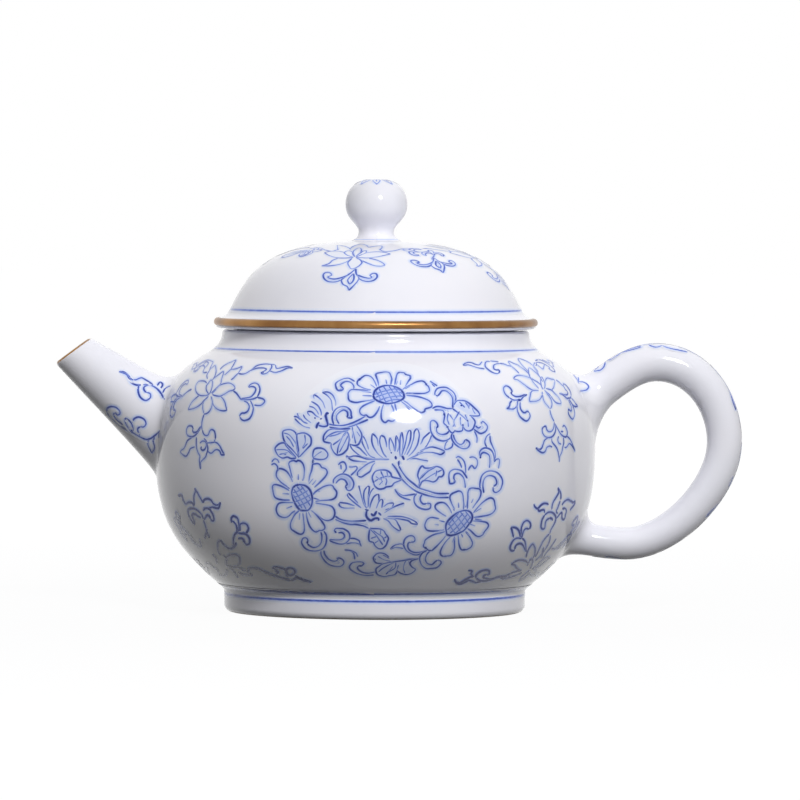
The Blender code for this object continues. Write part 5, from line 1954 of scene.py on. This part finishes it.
def hookFlower():
    return lines(
        ((-6.5, 1.9), (-4.5, 1), (-3.3, 0.2), (-1.8, 0), (0.4, 0.5)),
        ((-3.3, 2.9), (-3.3, 3.8), (-2, 4.3), (-0.5, 3.5), (0.6, 1.6), (0.4, 0.6)),
        ((-3.2, 3), (-2.6, 3.2), (-1.7, 2.8), (-0.9, 1.8), (-1.1, 0.6), (-2, 0.1)),
        ((0.4, 0.6), (1.7, 0.6), (2.7, -0.2), (2.3, -1.1), (0.5, -1.3)),
        ((-0.7, -0.5), (0.5, -1.3), (0.7, -2.8), (0, -4.2), (-1.3, -4.7), (-2.3, -4.1), (-2.6, -3.2)),
        ((-2.7, -0.3), (-1.3, -0.8), (-0.7, -1.8), (-0.9, -2.8), (-1.7, -3.4), (-2.5, -3)),
        tones=(1.0, 0.9, 1.05),
    ) + [
        halo(((-2.7, 3.6), (-1.5, 3.5), (-0.2, 2.2), (-0.2, 0.8)), (0.24, 0.24, 0.2), 1.6),
        halo(((0.4, -0.3), (1.5, -0.3), (2.4, -0.4)), (0.2, 0.2), 1.7),
        halo(((-0.6, -0.8), (0, -2), (-0.3, -3.3), (-1.6, -4), (-2.3, -3.6)), (0.2, 0.24, 0.24), 1.6),
    ]


def fleur():
    # the lid's pendant: a pointed bud between two tight curls
    return lines(
        (
            (0.34, 0), (-0.48, -1.35), (-1.7, -2.7), (-2.26, -3.55),
            (-1.7, -4.65), (-0.72, -5.2), (-0.24, -6.2),
        ),
        ((0.34, 0), (0.72, -1.6), (1.45, -2.7), (1.3, -3.85), (0.48, -5.2), (-0.24, -6.2)),
        (
            (0.1, -1.6), (-0.58, -2.7), (-0.86, -3.55),
            (-0.24, -4.5), (0.38, -3.6), (0.38, -2.5), (0.1, -1.6),
        ),
        (
            (-0.96, -2), (-2.4, -2.8), (-3.85, -3.2), (-5, -3), (-5.5, -2.6), (-4.7, -2.1),
            (-5.3, -1.35), (-6.25, -1.35), (-6.7, -2), (-6.3, -3.1), (-5.2, -3.9), (-3.6, -4),
            (-2.3, -3.5),
        ),
        (
            (1.05, -2), (2.4, -2.6), (3.7, -2.9), (4.3, -2.6), (3.8, -2.1), (4.3, -1.5),
            (5.05, -1.6), (5.4, -2.5), (4.9, -3.4), (3.8, -3.8), (2.5, -3.6), (1.45, -3),
        ),
        tones=(1.0, 0.9, 1.05),
    ) + [
        halo(((0, -1.6), (-0.2, -3.8), (-0.1, -6)), (0.16, 0.26, 0.2), 3),
        halo(((-1, -2.4), (-3, -3.4), (-5, -3.4), (-5.8, -2.2)), (0.2, 0.26, 0.26), 1.6),
        halo(((1, -2.4), (3, -3.2), (4.4, -3), (4.6, -2)), (0.2, 0.26, 0.26), 1.5),
    ]


def arcOf(side, zero):
    lengths = np.concatenate(((0,), np.cumsum(np.linalg.norm(np.diff(side, axis=0), axis=1))))
    return lengths - np.interp(zero, side[:, 1], lengths)


def turnedSurface(side, zero, angle):
    # maps developed millimetres onto a turned face, about an angle and a height
    lengths = arcOf(side, zero)
    slopes = np.gradient(side, axis=0)
    slopes = slopes / np.linalg.norm(slopes, axis=1)[:, None]

    def surface(flat):
        r, z = (np.interp(flat[:, 1], lengths, side[:, at]) for at in (0, 1))
        dr, dz = (np.interp(flat[:, 1], lengths, slopes[:, at]) for at in (0, 1))
        turn = math.radians(angle) + flat[:, 0] / np.maximum(r, 0.5)
        points = np.column_stack((r * np.sin(turn), -r * np.cos(turn), z))
        normals = np.column_stack((dz * np.sin(turn), -dz * np.cos(turn), -dr))
        return points, normals / np.linalg.norm(normals, axis=1)[:, None]

    return surface


def seenSurface(tree, side, painted):
    # maps places seen from the front, or from the back, onto the tree's first faces, as many as are painted
    def surface(flat):
        points, normals = np.full((len(flat), 3), np.nan), np.zeros((len(flat), 3))
        for at, (x, z) in enumerate(flat):
            place, normal, face, _ = tree.ray_cast(Vector((axisX + x * mm, -0.3, z * mm)), Vector((0, 1, 0)))
            if place is not None and face < painted:
                points[at] = (np.array(place) - (axisX, 0, 0)) / mm
                normals[at] = normal
        return points * (1, side, 1), normals * (1, side, 1)

    surface.cast = True
    return surface


def ridgeSurface(rings):
    # maps millimetres along the handle's outer ridge, and to its sides, onto its skin
    skin = np.array(rings)
    middles = skin.mean(axis=1)
    lengths = np.concatenate(((0,), np.cumsum(np.linalg.norm(np.diff(middles, axis=0), axis=1))))
    count = skin.shape[1]

    def surface(flat):
        row = np.clip(np.interp(flat[:, 0], lengths, np.arange(len(skin))), 0, len(skin) - 1.001)
        near = row.astype(int)
        rest = (row - near)[:, None]
        middle = middles[near] * (1 - rest) + middles[near + 1] * rest
        radius = np.linalg.norm(skin[near, 0] - middles[near], axis=1)
        column = (flat[:, 1] / radius / (2 * math.pi) * count) % count
        left = column.astype(int)
        part = (column - left)[:, None]
        points = 0
        for ring, share in ((near, 1 - rest), (near + 1, rest)):
            first, second = skin[ring, left % count], skin[ring, (left + 1) % count]
            points = points + share * (first * (1 - part) + second * part)
        normals = points - middle
        return points, normals / np.linalg.norm(normals, axis=1)[:, None]

    return surface


# how far each kind of mark lies off the glaze, in millimetres, and the profiles across the brushed ones
layerLift = {"ground": 0.008, "halo": 0.014, "wash": 0.027, "stroke": 0.031, "over": 0.031}
layerStagger = 0.0005  # from one mark to the next, so that crossing marks don't share a plane
profiles = {
    "halo": (np.array((-1.0, 0.0, 1.0)), np.array((0.0, 1.0, 0.0))),
    "stroke": (np.array((-1.0, -0.55, 0.0, 0.55, 1.0)), np.array((0.16, 0.6, 1.0, 0.6, 0.16))),
    "over": (np.array((-1.0, 0.0, 1.0)), np.array((0.55, 1.0, 0.55))),
}
areaFade = {"ground": (0.0, 4.0), "wash": (0.5, 2.5)}  # ink at the rim, and how fast it fills inwards
brushwork = {
    "step": 0.3,  # between the points of a line, in millimetres
    "haloStep": 0.5,
    "areaStep": 0.6,
    "endWidth": 0.45,  # a stroke's share of its width at its ends
    "endReach": 0.6,
    "load": 1.1,
    "pressRate": 0.9,  # the hand's pressure goes up and down along a stroke
    "pressShift": 2.3,
    "pressTone": 0.17,
    "pressWidth": 0.14,
    "bleedTone": 0.27,
    "bleedWidth": 1.1,
    "longestStride": 0.9,  # on a surface that turns away from the viewer
}
chart = {"width": 90.0, "step": 1.3, "gap": 0.4, "mark": 80, "half": 0.6, "height": 1.2}  # flat, in rows


def layered(groups):
    # all marks in the order of their layers; the cobalt of a stroke bleeds a little into the glaze
    layers = {kind: [] for kind in layerLift}
    for marks, surface in groups:
        for mark in marks:
            kind, points, tones, width = mark
            layers[kind].append((mark, surface))
            if kind == "stroke":
                bleed = tuple(brushwork["bleedTone"] * tone for tone in tones)
                wide = math.copysign(abs(width) + brushwork["bleedWidth"], width)
                layers["halo"].append((halo(points, bleed, wide), surface))
    return sum(layers.values(), [])


def cellsOf(grid, start):
    # the faces of a grid of points; from column 0 on, the first column is joined to the last
    cells = []
    for r in range(len(grid) - 1):
        for c in range(start, grid.shape[1]):
            cells.append((grid[r, c - 1], grid[r, c], grid[r + 1, c], grid[r + 1, c - 1]))
    return np.array(cells)


def areaMark(kind, rough, tones):
    # rings of points from an outline to its middle
    outline = smoothLine(np.vstack((rough, rough[:1])), brushwork["areaStep"])[:-1]
    middle = outline.mean(axis=0)
    reach = np.linalg.norm(outline - middle, axis=1).max()
    rings, count = max(3, int(reach / brushwork["areaStep"]) + 2), len(outline)
    shares = np.linspace(1, 0.02, rings)
    flat = np.vstack([middle + (outline - middle) * share for share in shares])
    edge, slope = areaFade[kind]
    ink = np.repeat(np.minimum(1, edge + (1 - shares) * slope), count) * tones[0]
    cells = cellsOf(np.arange(rings * count).reshape(rings, count), 0)
    return flat, ink, cells, (flat - flat.min(axis=0)) * min(1, chart["height"] / np.ptp(flat[:, 1]))


def brushMark(kind, rough, tones, width, at):
    # a strip of points along a line, and how far each lies to its side
    across, soft = profiles[kind]
    line = smoothLine(rough, brushwork["haloStep" if kind == "halo" else "step"])
    wide, count = len(across), len(line)
    steps = np.concatenate(((0,), np.cumsum(np.linalg.norm(np.diff(line, axis=0), axis=1))))
    fromEnd = np.minimum(steps, steps[-1] - steps)
    closed = np.linalg.norm(line[0] - line[-1]) < 0.01 or width < 0
    ends = np.clip(brushwork["endWidth"] + fromEnd / brushwork["endReach"], 0, 1)
    taper = np.ones(count) if closed else ends
    tone = np.interp(steps / steps[-1], np.linspace(0, 1, len(tones)), tones)
    wave = np.sin(steps * brushwork["pressRate"] + at * brushwork["pressShift"])
    press = wave if kind == "stroke" and width > 0 else 0
    tone = tone * (brushwork["load"] + brushwork["pressTone"] * press)
    half = abs(width) / 2 * taper * (1 + brushwork["pressWidth"] * press)
    spread = across[None, :, None] * half[:, None, None]
    flat = (line[:, None] + spread * sideOffsets(line)[:, None]).reshape(-1, 2)
    ink = (tone[:, None] * soft[None]).ravel()
    cells = cellsOf(np.arange(count * wide).reshape(-1, wide), 1)
    chartAlong = np.repeat(steps * min(1, chart["mark"] / steps[-1]), wide)
    chartAcross = np.tile((across + 1) * min(chart["half"], abs(width) / 2), count)
    return line, spread, flat, ink, cells, np.column_stack((chartAlong, chartAcross))


def castStrip(surface, line, spread):
    # lays a strip on along its middle line, which stops where the surface turns too far away
    middle, normal = surface(line)
    beside = np.cross(normal, np.gradient(middle, axis=0))
    beside = beside / np.maximum(np.linalg.norm(beside, axis=1), 1e-9)[:, None]
    strides = np.linalg.norm(np.diff(middle, axis=0), axis=1)
    middle[1:][strides > brushwork["longestStride"]] = np.nan
    place = (middle[:, None] + spread * beside[:, None]).reshape(-1, 3)
    return place, np.repeat(normal, spread.shape[1], axis=0)


def paint(name, groups, body, ground=0.0):
    # lays every brush mark as a thin strip just over the glaze, soft at its edges down to the ground's tint
    points, normals, faces, inks, maps = [], [], [], [], []
    total, cursor = 0, np.array((0.0, 0.0))
    for at, ((kind, rough, tones, width), surface) in enumerate(layered(groups)):
        lift = layerLift[kind]
        if kind in areaFade:
            flat, ink, cells, spot = areaMark(kind, rough, tones)
        else:
            line, spread, flat, ink, cells, spot = brushMark(kind, rough, tones, width, at)
            lift = lift + (at % 23) * layerStagger
        if kind == "halo":
            ink = np.maximum(ink, ground)
        if getattr(surface, "cast", False):
            place, normal = castStrip(surface, line, spread)
        else:
            place, normal = surface(flat)
        seen = ~np.isnan(place).any(axis=1)
        cells = cells[seen[cells].all(axis=1)]
        if not len(cells):
            continue
        place = np.nan_to_num(place + normal * lift)
        cells = np.vstack((cells[:, (0, 1, 2)], cells[:, (0, 2, 3)]))
        a, b, c = (place[cells[:, k]] for k in (0, 1, 2))
        facing = (np.cross(b - a, c - a) * normal[cells[:, 0]]).sum(axis=1)
        cells = np.where(facing[:, None] < 0, cells[:, ::-1], cells)[np.abs(facing) > 1e-6]
        length = spot[:, 0].max()
        if cursor[0] + length > chart["width"]:
            cursor = np.array((0.0, cursor[1] + chart["step"]))
        maps.append(spot + cursor)
        cursor = cursor + (length + chart["gap"], 0)
        points.append(place)
        normals.append(normal)
        faces.append(cells + total)
        inks.append(ink)
        total += len(place)
    mesh = bpy.data.meshes.new(name)
    used, faces = np.unique(np.vstack(faces), return_inverse=True)
    mesh.from_pydata(toWorld(np.vstack(points)[used]), [], faces.reshape(-1, 3).tolist())
    ink = mesh.attributes.new("ink", "FLOAT", "POINT")
    ink.data.foreach_set("value", np.concatenate(inks)[used].astype(np.float32))
    spots = np.vstack(maps)[used] / max(chart["width"], cursor[1] + chart["step"])
    layer = mesh.uv_layers.new(name="OFBake")
    corners = np.zeros(len(mesh.loops), np.int32)
    mesh.loops.foreach_get("vertex_index", corners)
    layer.data.foreach_set("uv", spots[corners].ravel().astype(np.float32))
    shape = bmesh.new()
    shape.from_mesh(mesh)
    bpy.data.meshes.remove(mesh)
    piece = finishPiece(name, shape, cobalt, body, sharp=180)
    # shaded as the wall below
    piece.data.normals_split_custom_set_from_vertices(np.vstack(normals)[used].tolist())
    print(name, len(piece.data.polygons), "triangles")
    return piece


def ringMark(side, height, zero, width, tone):
    # a thrown line: the brush held still while the pot turns
    radius = np.interp(height, side[:, 1], side[:, 0])
    up = np.interp(height, side[:, 1], arcOf(side, zero))
    turns = np.linspace(0, 2 * math.pi, 260)
    points = np.column_stack((turns * radius, np.full(len(turns), up)))
    return stroke(points, (tone, tone * 0.92, tone, tone * 0.88, tone), -width)  # below 0: no tapered ends


def skinTree(*pieces):
    shape = bmesh.new()
    for piece in pieces:
        shape.from_mesh(piece.data)
    tree = BVHTree.FromBMesh(shape)
    shape.free()
    return tree


domeSide = domeOutline(200)[::-1]
lidSide = np.vstack((lidCove(12)[:0:-1], domeSide[:-1]))

for name, turn in (("painted_roundel_front", 0), ("painted_roundel_back", 180)):
    paint(name, [(roundel(), turnedSurface(bodySide, wallHeight, wallAngle + turn))], "pot", roundelGround)

for name, turn in (("painted_sprays_front", 0), ("painted_sprays_back", 180)):
    paint(name, [(sprays(), turnedSurface(bodySide, wallHeight, wallAngle + turn))], "pot")

# the spout's own sprays, placed as the photo shows them, the same on the far side
spoutRows = rows(
    (120, 371, 125, 371.5, 130, 375.5, 133.5, 379, 137, 379, 142, 377.2, 147, 379.5, 154, 384),
    (120, 371, 127, 373.5, 130, 377.5, 133, 382, 138, 384.3, 142, 384),
    (140, 384, 139.2, 389.5, 141.5, 396, 147, 399.4, 151.6, 396.5, 151.2, 392.6, 147.6, 391.6),
    (147.6, 391.6, 145.4, 389.5, 145, 386.6, 148, 384.6, 154, 384),
    (144, 384, 150, 384, 156, 386.5, 161, 391, 165, 397),
    (158, 385, 161, 381.5, 163.5, 384, 161.5, 388),
    (164, 392, 166, 388, 170, 385.6, 174, 385, 172.5, 388),
    (165, 397.5, 169, 398.2, 174, 396),
    (107.4, 411, 108.4, 407.4, 112, 405.6, 117, 406.4, 120.6, 409.6, 121, 413, 118, 414, 116.6, 411.6),
    (
        107.4, 411, 110, 416, 116, 421, 124, 427, 133, 431.2,
        141, 435.6, 147, 438, 152, 437, 158, 432.6, 161.6, 429,
    ),
    (116.6, 411.6, 114.6, 413.6, 117.4, 418.6, 124, 424),
    (126, 417, 130.4, 419.6, 133.4, 424, 134.4, 429.6),
    (126, 417, 126.6, 422, 129.6, 427, 134, 430.4),
    (133.4, 421.4, 135.4, 417.6, 140, 415.8, 145.4, 418, 147.4, 422.4, 145, 425.6, 141.6, 425.4),
    (141.6, 425.4, 139, 427.4, 139.4, 431, 141, 434.6),
    (150, 438, 149, 443, 151.6, 449, 153, 452),
    (156, 435, 154.6, 440, 156, 446, 153, 452),
    (161, 430, 160.4, 436, 163.4, 443, 167, 446),
)
skin = skinTree(spoutPiece, potBody)
groups = []
for side in (1, -1):
    surface = seenSurface(skin, side, len(spoutPiece.data.polygons))
    marks = lines(*[seenPlace(row) for row in spoutRows], tones=(1.0, 0.9, 1.05))
    groups.append((marks, surface))
paint("painted_spout_sprays", groups, "pot")


def ridgeScroll():
    # a running scroll along the handle's back: a wavy stem with a curl in every bend and a small leaf
    marks = []
    pitch = 11.0
    for at in range(10):
        start, side = 3 + at * pitch, 1 if at % 2 else -1
        wave = [(0, 0), (2.6, 1.1 * side), (5.5, 1.4 * side), (8.4, 0.9 * side), (pitch, 0)]
        marks += lines([(start + x, y) for x, y in wave], tones=(0.95, 0.85, 0.95))
        curl = [(8, 1.0), (6.6, -0.6), (4.6, -1.4), (2.9, -0.8), (2.7, 0.3), (3.8, 0.6)]
        marks += lines([(start + x, y * side) for x, y in curl], tones=(0.9, 0.95, 1.05))
        marks += moved(leaf((0, 0), (3.4, 2.0 * side), 0.8, veined=False), start + 3.6, 1.3 * side)
        marks += moved(leaf((0, 0), (2.8, -1.6 * side), 0.6, veined=False), start + 8.6, 0.6 * side)
    return marks


# the handle's strokes in the photo's pixels, the same on the far side
handleRows = rows(
    (594, 371.5, 597, 370.5, 600, 370, 603, 367.5, 604.5, 364.5, 605, 362),
    (594, 371.5, 596, 369, 598.5, 366.5, 601, 364),
    (606, 361, 610, 360, 615, 357, 620, 353.5, 624, 350.5, 627, 348.6),
    (607, 360.5, 612, 358.5, 617, 355, 620.5, 351.8),
    (648.5, 344.8, 651, 346, 655, 347, 659, 346.4, 661.5, 345.2),
    (662, 345.6, 666, 347.2, 671, 348.6, 677, 349.8, 683, 351, 687, 352),
    (733, 476, 731, 481, 728.5, 487),
    (573, 374.5, 575, 377, 577, 380, 578, 383),
    (577, 375, 578, 378, 578, 381, 582, 381.5, 585.5, 383, 588, 386, 586, 389, 582, 390, 578.5, 390),
)
skin = skinTree(handlePiece, potBody)
groups = []
for side in (1, -1):
    surface = seenSurface(skin, side, len(handlePiece.data.polygons) + len(potBody.data.polygons))
    marks = lines(*[seenPlace(row) for row in handleRows], tones=(0.8, 0.65, 0.8), width=0.46)
    groups.append((marks, surface))
marks = [[kind, points * (1, 0.55), tones, width] for kind, points, tones, width in ridgeScroll()]
groups.append((marks, ridgeSurface(handleSkin)))
paint("painted_handle_scroll", groups, "pot")

# the thrown lines round the neck and the base, and on the foot
footSide = np.array([(pot["footRadius"], height) for height in (pot["footEdge"], 3.0, pot["coveFoot"])])
groups = []
for side, height, zero, width, tone in (
    (bodySide, 57.9, 36, 0.6, 0.74),
    (bodySide, 5.65, 36, 0.9, 0.95),
    (footSide, 4.05, 3, 0.6, 0.85),
):
    groups.append(([ringMark(side, height, zero, width, tone)], turnedSurface(side, zero, 0)))
paint("painted_lines", groups, "pot")

# the lid: four lotuses with pendants, and between them pendants and leaves in turn
lidZero, lidTone = 67.4, 0.78
lidStems = (
    ((4.7, 19.2), (6, 18), (8, 18.6), (9.8, 20.2), (11.6, 20.4)),
    ((-4.7, 19.2), (-6, 18), (-8, 18.8), (-9.8, 20.2), (-11.6, 20.2)),
)
groups = []
for turn in (0, 90, 180, 270):
    marks = moved(lotus(), 0, 14.6) + moved(fleur(), 0.9, 10.3) + lines(*lidStems)
    groups.append((marks, turnedSurface(lidSide, lidZero, -12.5 + turn)))
    surface = turnedSurface(lidSide, lidZero, 33 + turn)
    if turn % 180 == 0:
        marks = moved(fleur(), 0.4, 14.7, size=0.92)
        marks += moved(hookFlower(), 1.8, 17.4, size=0.62, turn=78)
        marks += moved(hookFlower(), -2.6, 18.6, size=0.62, flipX=-1, turn=-30)
    else:
        marks = leaf((0.8, 18.4), (-4.6, 14.6), 1.5) + leaf((1, 18.4), (3.6, 15), 1.2)
        marks += moved(hookFlower(), 3.4, 18.2, size=0.7, turn=20)
    groups.append((marks, surface))
for marks, _ in groups:
    for mark in marks:
        mark[2] = tuple(lidTone * tone for tone in mark[2])
groups.append(([ringMark(lidSide, 66.4, lidZero, 0.6, 0.7)], turnedSurface(lidSide, lidZero, 0)))
paint("painted_lid_sprays", groups, "lid")

# the knob: a small flower of pointed leaves round the vent, and a pale line round the foot
knobLeaf = (
    ((0, -0.4), (0.8, -2), (0.1, -3.9)),
    ((0, -0.4), (-0.8, -2), (0.1, -3.9)),
    ((0, -0.6), (0, -2.6)),
)
knobSide = knobOutline(60)[:60][::-1]
groups = []
for turn in range(0, 360, 45):
    marks = lines(*knobLeaf, tones=(0.5, 0.45, 0.6), width=0.4)
    groups.append((marks, turnedSurface(knobSide, knobSide[-1, 1], turn)))
knobFoot = knobOutline(26)[::-1]
knobFoot = knobFoot[knobFoot[:, 1] < knob["seat"] + 3]
marks = [ringMark(knobFoot, knob["seat"] - 0.1, knob["seat"], 0.35, 0.3)]
groups.append((marks, turnedSurface(knobFoot, knob["seat"], 0)))
paint("painted_knob_flower", groups, "lid")
print("painting done")


def whiteRays(tree):
    # 1 for camera, glossy and transmission rays, and 0 for the others
    rays = addNode(tree, "ShaderNodeLightPath").outputs
    either = addMath(tree, "MAXIMUM", rays["Is Camera Ray"], rays["Is Glossy Ray"])
    return addMath(tree, "MAXIMUM", either, rays["Is Transmission Ray"])


def makeStage():
    # the floor: white to the camera and in reflections; its own dull, dark colour keeps light from coming up
    made, tree, shader = newMaterial("studio_floor")
    shader.inputs["Base Color"].default_value = toLinear("#2e2e30")
    shader.inputs["Roughness"].default_value = 0.9
    shader.inputs["Specular IOR Level"].default_value = 0.0
    seen = whiteRays(tree)
    place = addNode(tree, "ShaderNodeTexCoord").outputs["Object"]
    away = addNode(tree, "ShaderNodeVectorMath", {0: place}, operation="LENGTH").outputs["Value"]
    near = {"Value": away, "From Min": 0.1, "From Max": 0.7, "To Min": 0.96, "To Max": 1.0}
    glow = addNode(tree, "ShaderNodeMapRange", near).outputs["Result"]
    shader.inputs["Emission Color"].default_value = (1, 1, 1, 1)
    tree.links.new(addMath(tree, "MULTIPLY", seen, glow), shader.inputs["Emission Strength"])
    shape = bmesh.new()
    bmesh.ops.create_grid(shape, x_segments=8, y_segments=8, size=6)
    mesh = bpy.data.meshes.new("floor")
    shape.to_mesh(mesh)
    shape.free()
    mesh.materials.append(made)
    floor = bpy.data.objects.new("floor", mesh)
    bpy.context.scene.collection.objects.link(floor)

    world = bpy.data.worlds.new("studio")
    bpy.context.scene.world = world
    world.use_nodes = True
    tree = world.node_tree
    level = addRange(tree, whiteRays(tree), 0.07, 1.0)
    background = tree.nodes["Background"]
    background.inputs["Color"].default_value = (1, 1, 1, 1)
    tree.links.new(level, background.inputs["Strength"])


def addLamp(name, azimuth, elevation, distance, size, power, mirrored=True):
    a, e = math.radians(azimuth), math.radians(elevation)
    lamp = bpy.data.lights.new(name, "AREA")
    lamp.shape = "ELLIPSE"
    lamp.size, lamp.size_y = size
    lamp.energy = power
    back = Vector((math.sin(a) * math.cos(e), -math.cos(a) * math.cos(e), math.sin(e)))
    made = bpy.data.objects.new(name, lamp)
    made.location = Vector((0, 0, 0.05)) + back * distance
    made.rotation_euler = (-back).to_track_quat("-Z", "Y").to_euler()
    made.visible_glossy = mirrored
    bpy.context.scene.collection.objects.link(made)


def makeCamera():
    lens = bpy.data.cameras.new("camera")
    lens.sensor_width = 36
    lens.lens = lens.sensor_width * view["distance"] / view["width"]
    lens.clip_start, lens.clip_end = 0.05, 20
    made = bpy.data.objects.new("camera", lens)
    bpy.context.scene.collection.objects.link(made)
    tip, roll = math.radians(view["tip"]), math.radians(view["roll"])
    way = Vector((0, math.cos(tip), -math.sin(tip)))
    aim = Vector((axisX + view["aim"][0] * mm, 0, view["aim"][1] * mm))
    made.location = aim - view["distance"] * mm * way
    made.rotation_mode = "QUATERNION"
    made.rotation_quaternion = way.to_track_quat("-Z", "Y") @ Matrix.Rotation(roll, 3, "Z").to_quaternion()
    bpy.context.scene.camera = made


makeStage()
# azimuth and elevation, distance and size in metres, power; only the key shows in reflections
addLamp("key", 17, 29, 1.2, (0.28, 0.3), 8.6)
addLamp("top", 10, 70, 1.0, (0.8, 0.8), 1.2, False)
addLamp("fill", -8, 40, 1.2, (1.4, 1.0), 3.8, False)
addLamp("side", 78, 24, 1.2, (0.8, 0.8), 1.8, False)
addLamp("back", 165, 34, 1.2, (1.2, 0.9), 7.5, False)
addLamp("farSide", 222, 30, 1.2, (1.0, 0.9), 4.0, False)
makeCamera()
bpy.context.scene.view_settings.view_transform = "Standard"

print("stage set")
